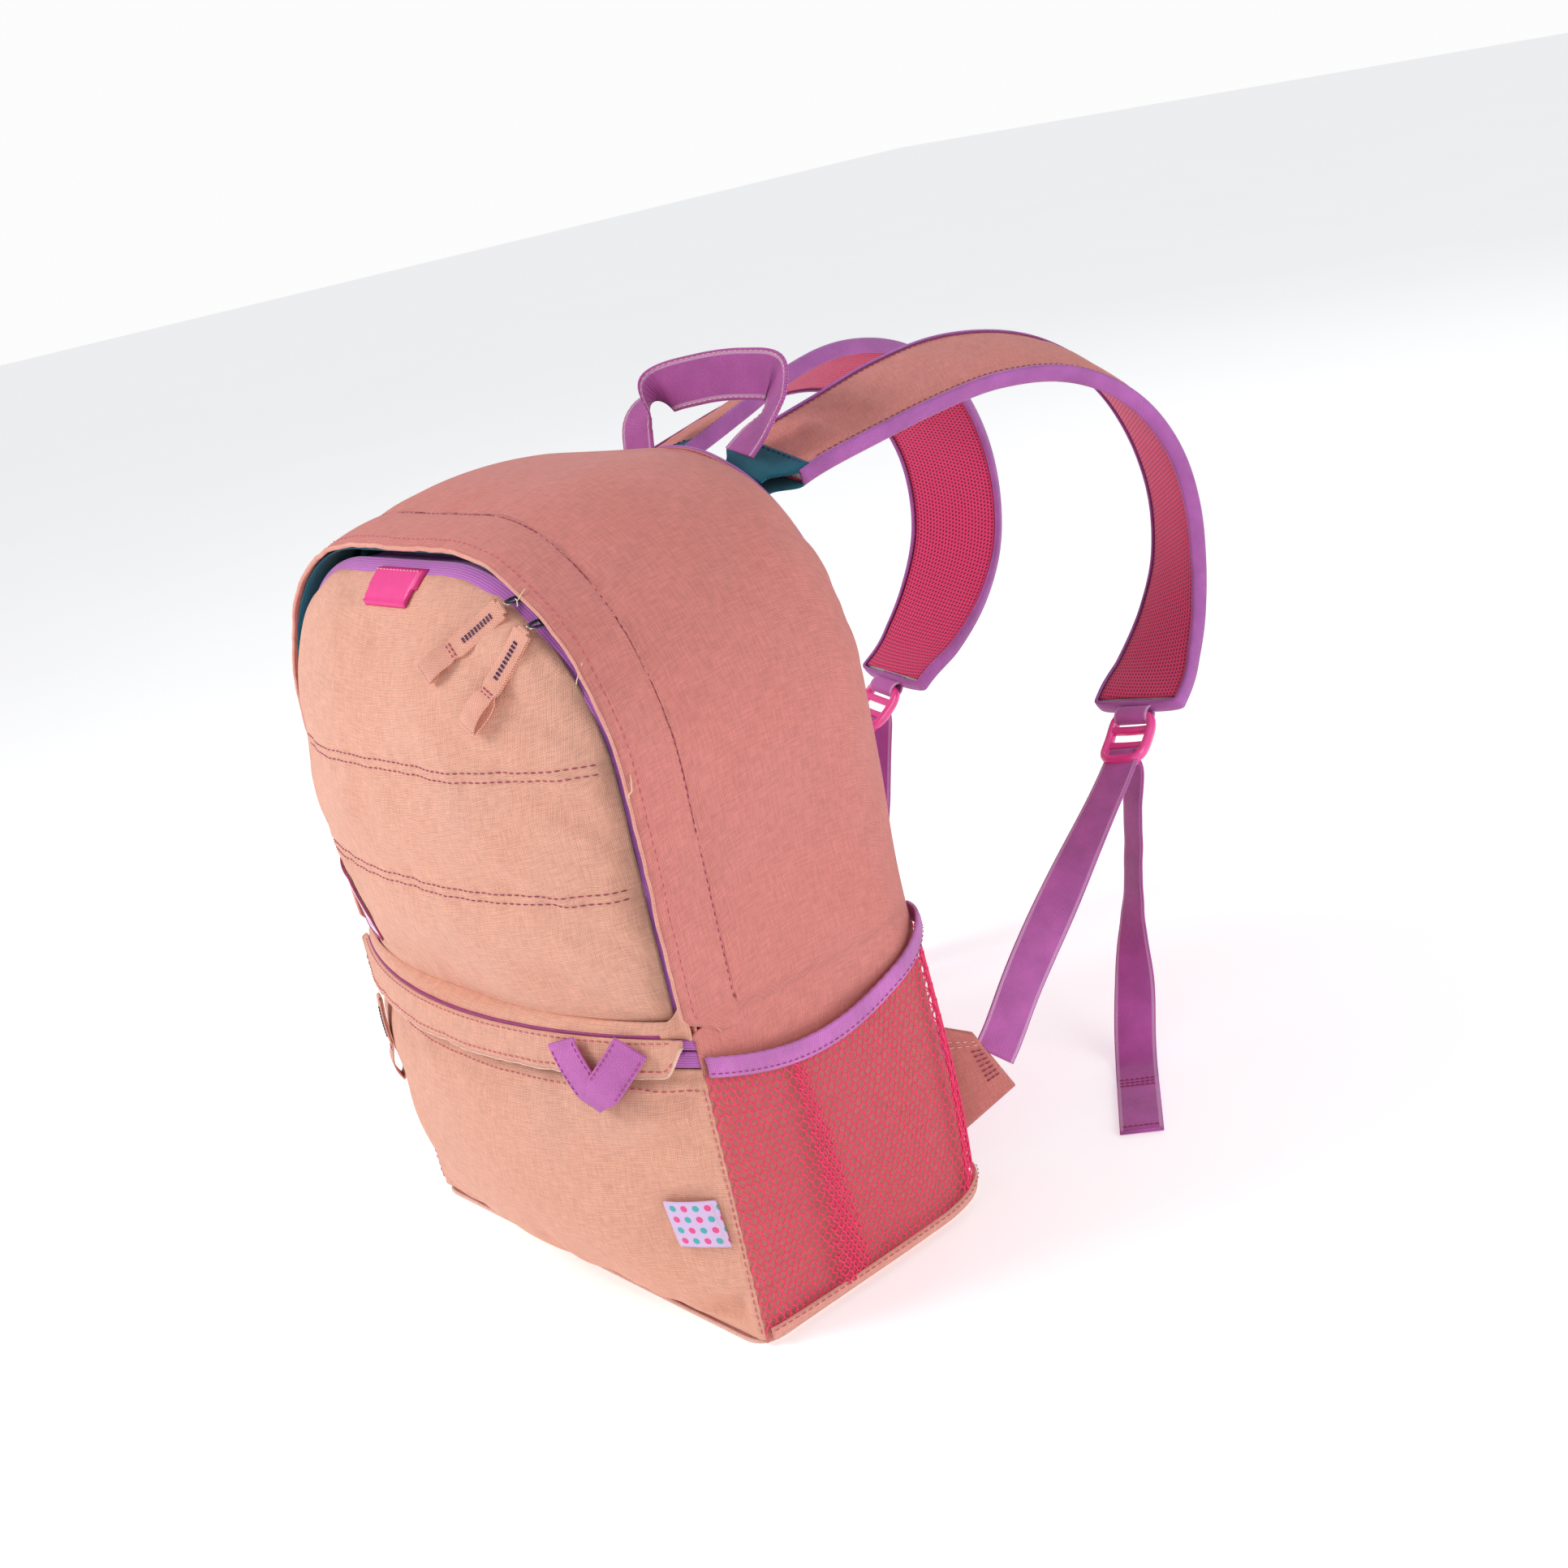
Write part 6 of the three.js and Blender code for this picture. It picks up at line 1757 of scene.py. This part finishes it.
def build_handle():
    line = evenly(spline(HANDLE_POINTS, np.linspace(0, 1, 300)), count=140)
    u = np.linspace(0, 1, len(line))
    standing = (np.sin(math.pi * u) ** 1.5)[:, None]
    across = facing(line, np.concatenate([1 - standing, 0.25 * standing, standing], axis=1))
    obj, out = ribbon("handle_webbing_loop", line, across, 14.0, 1.9, handle_web)
    bends(obj, "bag", "handle", (0, 95, 411), (0, 101, 425), "purple_webbing", "top_handle")
    runs = []
    for k in (-12.4, 12.4):
        for face in (1.05, -1.05):
            runs.append((line[8:-8] + across[8:-8] * k + out[8:-8] * face, out[8:-8] * np.sign(face)))
    stitches_obj = stitched("handle_stitches", runs, pale_thread, length=2.4, gap=1.2, radius=0.26)
    bends(stitches_obj, "bag", "handle", (0, 95, 411), (0, 101, 425), "purple_webbing")


# ---- zip sliders and pulls ----
SLIDER_ANGLES = {"right": 49, "left": 59}
PULL_DIRECTIONS = {"right": (-0.42, -0.52, -0.75), "left": (-0.72, -0.48, -0.5)}
TRACK_RADIUS = SHOULDER_RADIUS - ZIP_INSET
POCKET_SLIDER_X = -118


def slider_body(name, middle, along, out, forward, length=11.0, half_width=4.5, height=2.6):
    """A slider: two shield-shaped plates a little apart, and the bridge that holds the puller."""
    parts = []
    t = np.linspace(-1, 1, 15)
    for level in (-0.5, 0.5):
        line = middle + along * (t * length / 2)[:, None] + out * (level * height)
        width = 0.72 + 0.28 * np.cos(t * 1.2) + 0.12 * t
        shape = rounded_bar(half_width, 0.5, 0.4)
        parts.append(swept("plate", line, shape, np.tile(forward, (15, 1)), np.tile(out, (15, 1)), metal,
                           scale=width))
    bow = np.linspace(0, math.pi, 16)
    line = middle + along * (-3.6 * np.cos(bow))[:, None] + out * (height / 2 + 2.0 * np.sin(bow))[:, None]
    side = np.tile(forward, (16, 1))
    parts.append(swept("bridge", line, rounded_bar(1.3, 0.5, 0.4), side,
                       unit(np.cross(side, tangents(line))), metal))
    return joined(name, parts)


def puller_tab(name, start, end, across, out):
    """A flat metal tab with a waist and a rounded window at its far end."""
    middle = lerp(np.array(start), np.array(end), 0.5)
    length = np.linalg.norm(np.array(end) - np.array(start))
    along = unit(np.array(end) - np.array(start))
    turn = np.linspace(0, 2 * math.pi, 48, endpoint=False)
    ring = []
    for angle in turn:
        c, d = math.cos(angle), math.sin(angle)
        far = (length / 2 - 0.9) * squared_off(d, 0.6)
        wide = 2.3 * squared_off(c, 0.6) * (0.75 + 0.25 * d)
        ring.append(middle + along * far + across * wide)
    ring = np.array(ring)
    tangent = loop_tangents(ring)
    sideways = unit(np.cross(tangent, out))
    parts = [swept("tab_rim", ring, rounded_bar(0.9, 0.6, 0.45), sideways, np.tile(out, (48, 1)), metal,
                   loop=True)]
    parts.append(bar("tab_waist", (middle - across * 2.2, middle + across * 2.2), 1.4, 0.5, along, out,
                     metal, 0.4))
    return joined(name, parts)


def webbing_pull(name, start, down, face, across, length, ways):
    """A folded strip of ribbed webbing: a flat body with a woven dash, a pinch, then an open loop."""
    s = np.linspace(0, 1, 80)
    body_end = 0.64
    sway = 0.8 * np.sin(s * 5.0)
    loop_open = 2.6 * np.sin(math.pi * clamp01((s - body_end) / (1 - body_end))) ** 0.8
    half = 5.5 * (1 - 0.22 * np.exp(-(((s - body_end) / 0.035) ** 2)))
    centre = start + down * (s * length)[:, None] + face * sway[:, None]
    parts = []
    for way in (1, -1):
        line = centre + face * (way * (0.62 + loop_open))[:, None]
        scale = half / 5.5
        out = np.tile(face, (80, 1))
        parts.append(swept("layer", line, rounded_bar(5.5, 0.5, 0.4), np.tile(across, (80, 1)), out,
                           pull_web, scale=scale))
    bend = np.linspace(-math.pi / 2, math.pi / 2, 12)
    tip = centre[-1] + down * (1.1 * np.cos(bend))[:, None] + face * (0.62 * np.sin(bend))[:, None]
    parts.append(swept("tip", tip, rounded_bar(5.5, 0.5, 0.4), np.tile(across, (12, 1)),
                       unit(np.cross(tangents(tip), across)), pull_web))
    # the end that goes through the puller's window
    bend = np.linspace(math.pi / 2, 1.5 * math.pi, 12)
    eye = start + down * (1.4 * np.cos(bend))[:, None] + face * (0.62 * np.sin(bend))[:, None]
    parts.append(swept("eye", eye, rounded_bar(3.4, 0.5, 0.4), np.tile(across, (12, 1)),
                       unit(np.cross(tangents(eye), across)), pull_web))
    obj = joined(name, parts)
    # the woven dash down the middle, on both faces, and the tack at the pinch
    t = np.linspace(0.10, 0.50, 60)
    row = start + down * (t * length)[:, None] + face * (0.8 * np.sin(t * 5.0))[:, None]
    runs = []
    for way in ways:
        for shift in (-1.0, 0.0, 1.0):
            runs.append((row + face * (1.25 * way) + across * shift, np.tile(face * way, (60, 1))))
    dash = stitched(f"{name}_dash", runs, navy_thread, length=1.5, gap=0.5, radius=0.42)
    runs = []
    for way in ways:
        for k in (body_end - 0.02, body_end + 0.015):
            width = np.linspace(-3.9, 3.9, 16)[:, None]
            place = start + down * (k * length) + face * (0.8 * math.sin(k * 5.0) + 1.3 * way)
            runs.append((place + across * width, np.tile(face * way, (16, 1))))
    tack = stitched(f"{name}_tack", runs, dark_thread, length=1.8, gap=0.3, radius=0.35)
    return obj, dash, tack


def build_main_slider(which):
    angle = math.radians(SLIDER_ANGLES[which])
    out = np.array([math.cos(angle), 0, math.sin(angle)])
    along = np.array([-out[2], 0, out[0]])
    forward = np.array([0, 1.0, 0])
    centre = np.array([ARC_X, 0, ARC_Z])
    middle = centre + out * (TRACK_RADIUS + 1.9) + forward * -75.8
    body = f"zip_slider_{which}"
    belongs(slider_body(f"slider_{which}", middle, along, out, forward), body, "zip_metal",
            f"main_slider_{which}")
    tab_out = out * (TRACK_RADIUS + 2.7)
    tab = puller_tab(f"puller_{which}", centre + tab_out + forward * -96.6,
                     centre + tab_out + forward * -80.5, along, out)
    belongs(tab, body, "zip_metal", f"main_puller_{which}")
    start = centre + out * (TRACK_RADIUS + 1) + forward * PULL_START_Y
    down = unit(np.array(PULL_DIRECTIONS[which]))
    face = unit(np.cross(np.array([-down[2], 0, down[0]]), down))
    across = np.cross(down, face)
    pull, dash, tack = webbing_pull(f"pull_strip_{which}", start, down, face, across, PULL_LENGTH - 1,
                                    (1, -1))
    belongs(pull, f"zip_pull_{which}", "pull_webbing", f"webbing_pull_{which}")
    for thread in (dash, tack):
        belongs(thread, f"zip_pull_{which}", "pull_webbing")


def build_pocket_slider():
    angle = math.asin(POCKET_SLIDER_X / POCKET_RADIUS)
    out = np.array([math.sin(angle), -math.cos(angle), 0])
    along = np.array([-out[1], out[0], 0])
    up = np.array([0, 0, 1.0])

    def at(radius, z):
        return np.array([0, POCKET_CENTRE_Y, z]) + out * (POCKET_RADIUS + radius)

    obj = slider_body("pocket_slider_body", at(1.6, 167), along, out, up, height=2.2)
    belongs(obj, "pocket_zip_slider", "zip_metal", "pocket_slider")
    tab = puller_tab("pocket_puller_tab", at(4.3, 152), at(4.3, 169), along, out)
    belongs(tab, "pocket_zip_slider", "zip_metal", "pocket_puller")
    pull, dash, tack = webbing_pull("pocket_pull_strip", at(9.4, 148.5), np.array([0, 0, -1.0]), out, along,
                                    50, (1,))
    belongs(pull, "pocket_zip_pull", "pull_webbing", "pocket_webbing_pull")
    for thread in (dash, tack):
        belongs(thread, "pocket_zip_pull", "pull_webbing")


# ---- light, floor and camera ----
def area_light(name, place, target, size, power, colour=(1, 1, 1)):
    data = bpy.data.lights.new(name, "AREA")
    data.shape = "DISK"
    data.size = size
    data.energy = power
    data.color = colour
    obj = bpy.data.objects.new(name, data)
    obj.location = place
    obj.rotation_mode = "QUATERNION"
    obj.rotation_quaternion = (Vector(target) - Vector(place)).to_track_quat("-Z", "Y")
    bpy.context.scene.collection.objects.link(obj)


def build_stage():
    world = bpy.data.worlds.new("studio")
    world.use_nodes = True
    colour, strength = world.node_tree.nodes["Background"].inputs[:2]
    colour.default_value = (0.96, 0.97, 1.0, 1)
    strength.default_value = 0.5
    bpy.context.scene.world = world
    mesh = bpy.data.meshes.new("floor")
    reach = 12.0
    corners = [(reach * a, reach * b, 0) for a, b in ((-1, -1), (1, -1), (1, 1), (-1, 1))]
    mesh.from_pydata(corners, [], [(0, 1, 2, 3)])
    g = Nodes("floor_paper", 0.8, Emission_Color=(1, 1, 1, 1), Emission_Strength=0.40)
    g.colour(g.mix(g.noise(400, 2.0), (0.90, 0.90, 0.90, 1), (0.94, 0.94, 0.94, 1)))
    mesh.materials.append(g.material)
    floor = bpy.data.objects.new("floor", mesh)
    bpy.context.scene.collection.objects.link(floor)
    dome_mesh = bpy.data.meshes.new("backdrop")
    shell = bmesh.new()
    bmesh.ops.create_uvsphere(shell, u_segments=32, v_segments=16, radius=30)
    shell.to_mesh(dome_mesh)
    shell.free()
    glow = Nodes("backdrop_paper", 1.0, Emission_Color=(1, 1, 1, 1), Emission_Strength=0.97)
    glow.colour((0, 0, 0, 1))
    dome_mesh.materials.append(glow.material)
    dome = bpy.data.objects.new("backdrop", dome_mesh)
    dome.visible_diffuse = dome.visible_glossy = dome.visible_shadow = dome.visible_transmission = False
    bpy.context.scene.collection.objects.link(dome)
    area_light("key", (-0.55, -1.05, 1.15), (0, 0, 0.40), 0.7, 12)
    area_light("fill", (2.2, 0.3, 1.0), (0, 0, 0.2), 1.6, 17)
    area_light("rim", (-0.8, 2.2, 2.0), (0, 0.1, 0.25), 1.6, 8)
    bpy.context.scene.view_settings.view_transform = "Standard"


LENS = 46.81
CAMERA_PLACE = (0.8992, -0.5791, 0.5844)


def build_camera():
    data = bpy.data.cameras.new("camera")
    data.sensor_width = 36
    data.lens = LENS
    camera = bpy.data.objects.new("camera", data)
    right = Vector((0.6495, 0.7344, -0.1969))
    up = Vector((-0.1154, 0.3511, 0.9292))
    back = Vector((0.7516, -0.5808, 0.3128))
    turn = Matrix((right, up, back)).transposed()
    camera.matrix_world = Matrix.Translation(CAMERA_PLACE) @ turn.to_4x4()
    bpy.context.scene.collection.objects.link(camera)
    bpy.context.scene.camera = camera


build_camera()
build_stage()
build_gusset()
build_storm_flap()
build_loose_threads()
build_front_panel()
build_panel_foot()
build_linings()
build_main_zip()
build_badge()
build_patch()
build_front_pocket()
build_pocket_zip()
build_pocket_flap()
build_gear_loop()
build_label()
build_bottom_piping()
build_back()
build_handle()
build_pocket_slider()
for which, side in (("right", 1), ("left", -1)):
    build_main_slider(which)
    build_mesh_pocket(side, which)
    build_strap(side, which)
    build_lock(side, which)
    build_webbing(side, which)
    build_tail(side, which)
    build_anchor(side, which)

# ---- CAD nodes that are shown as they are ----
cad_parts["base_board"].material_slots[0].material = board
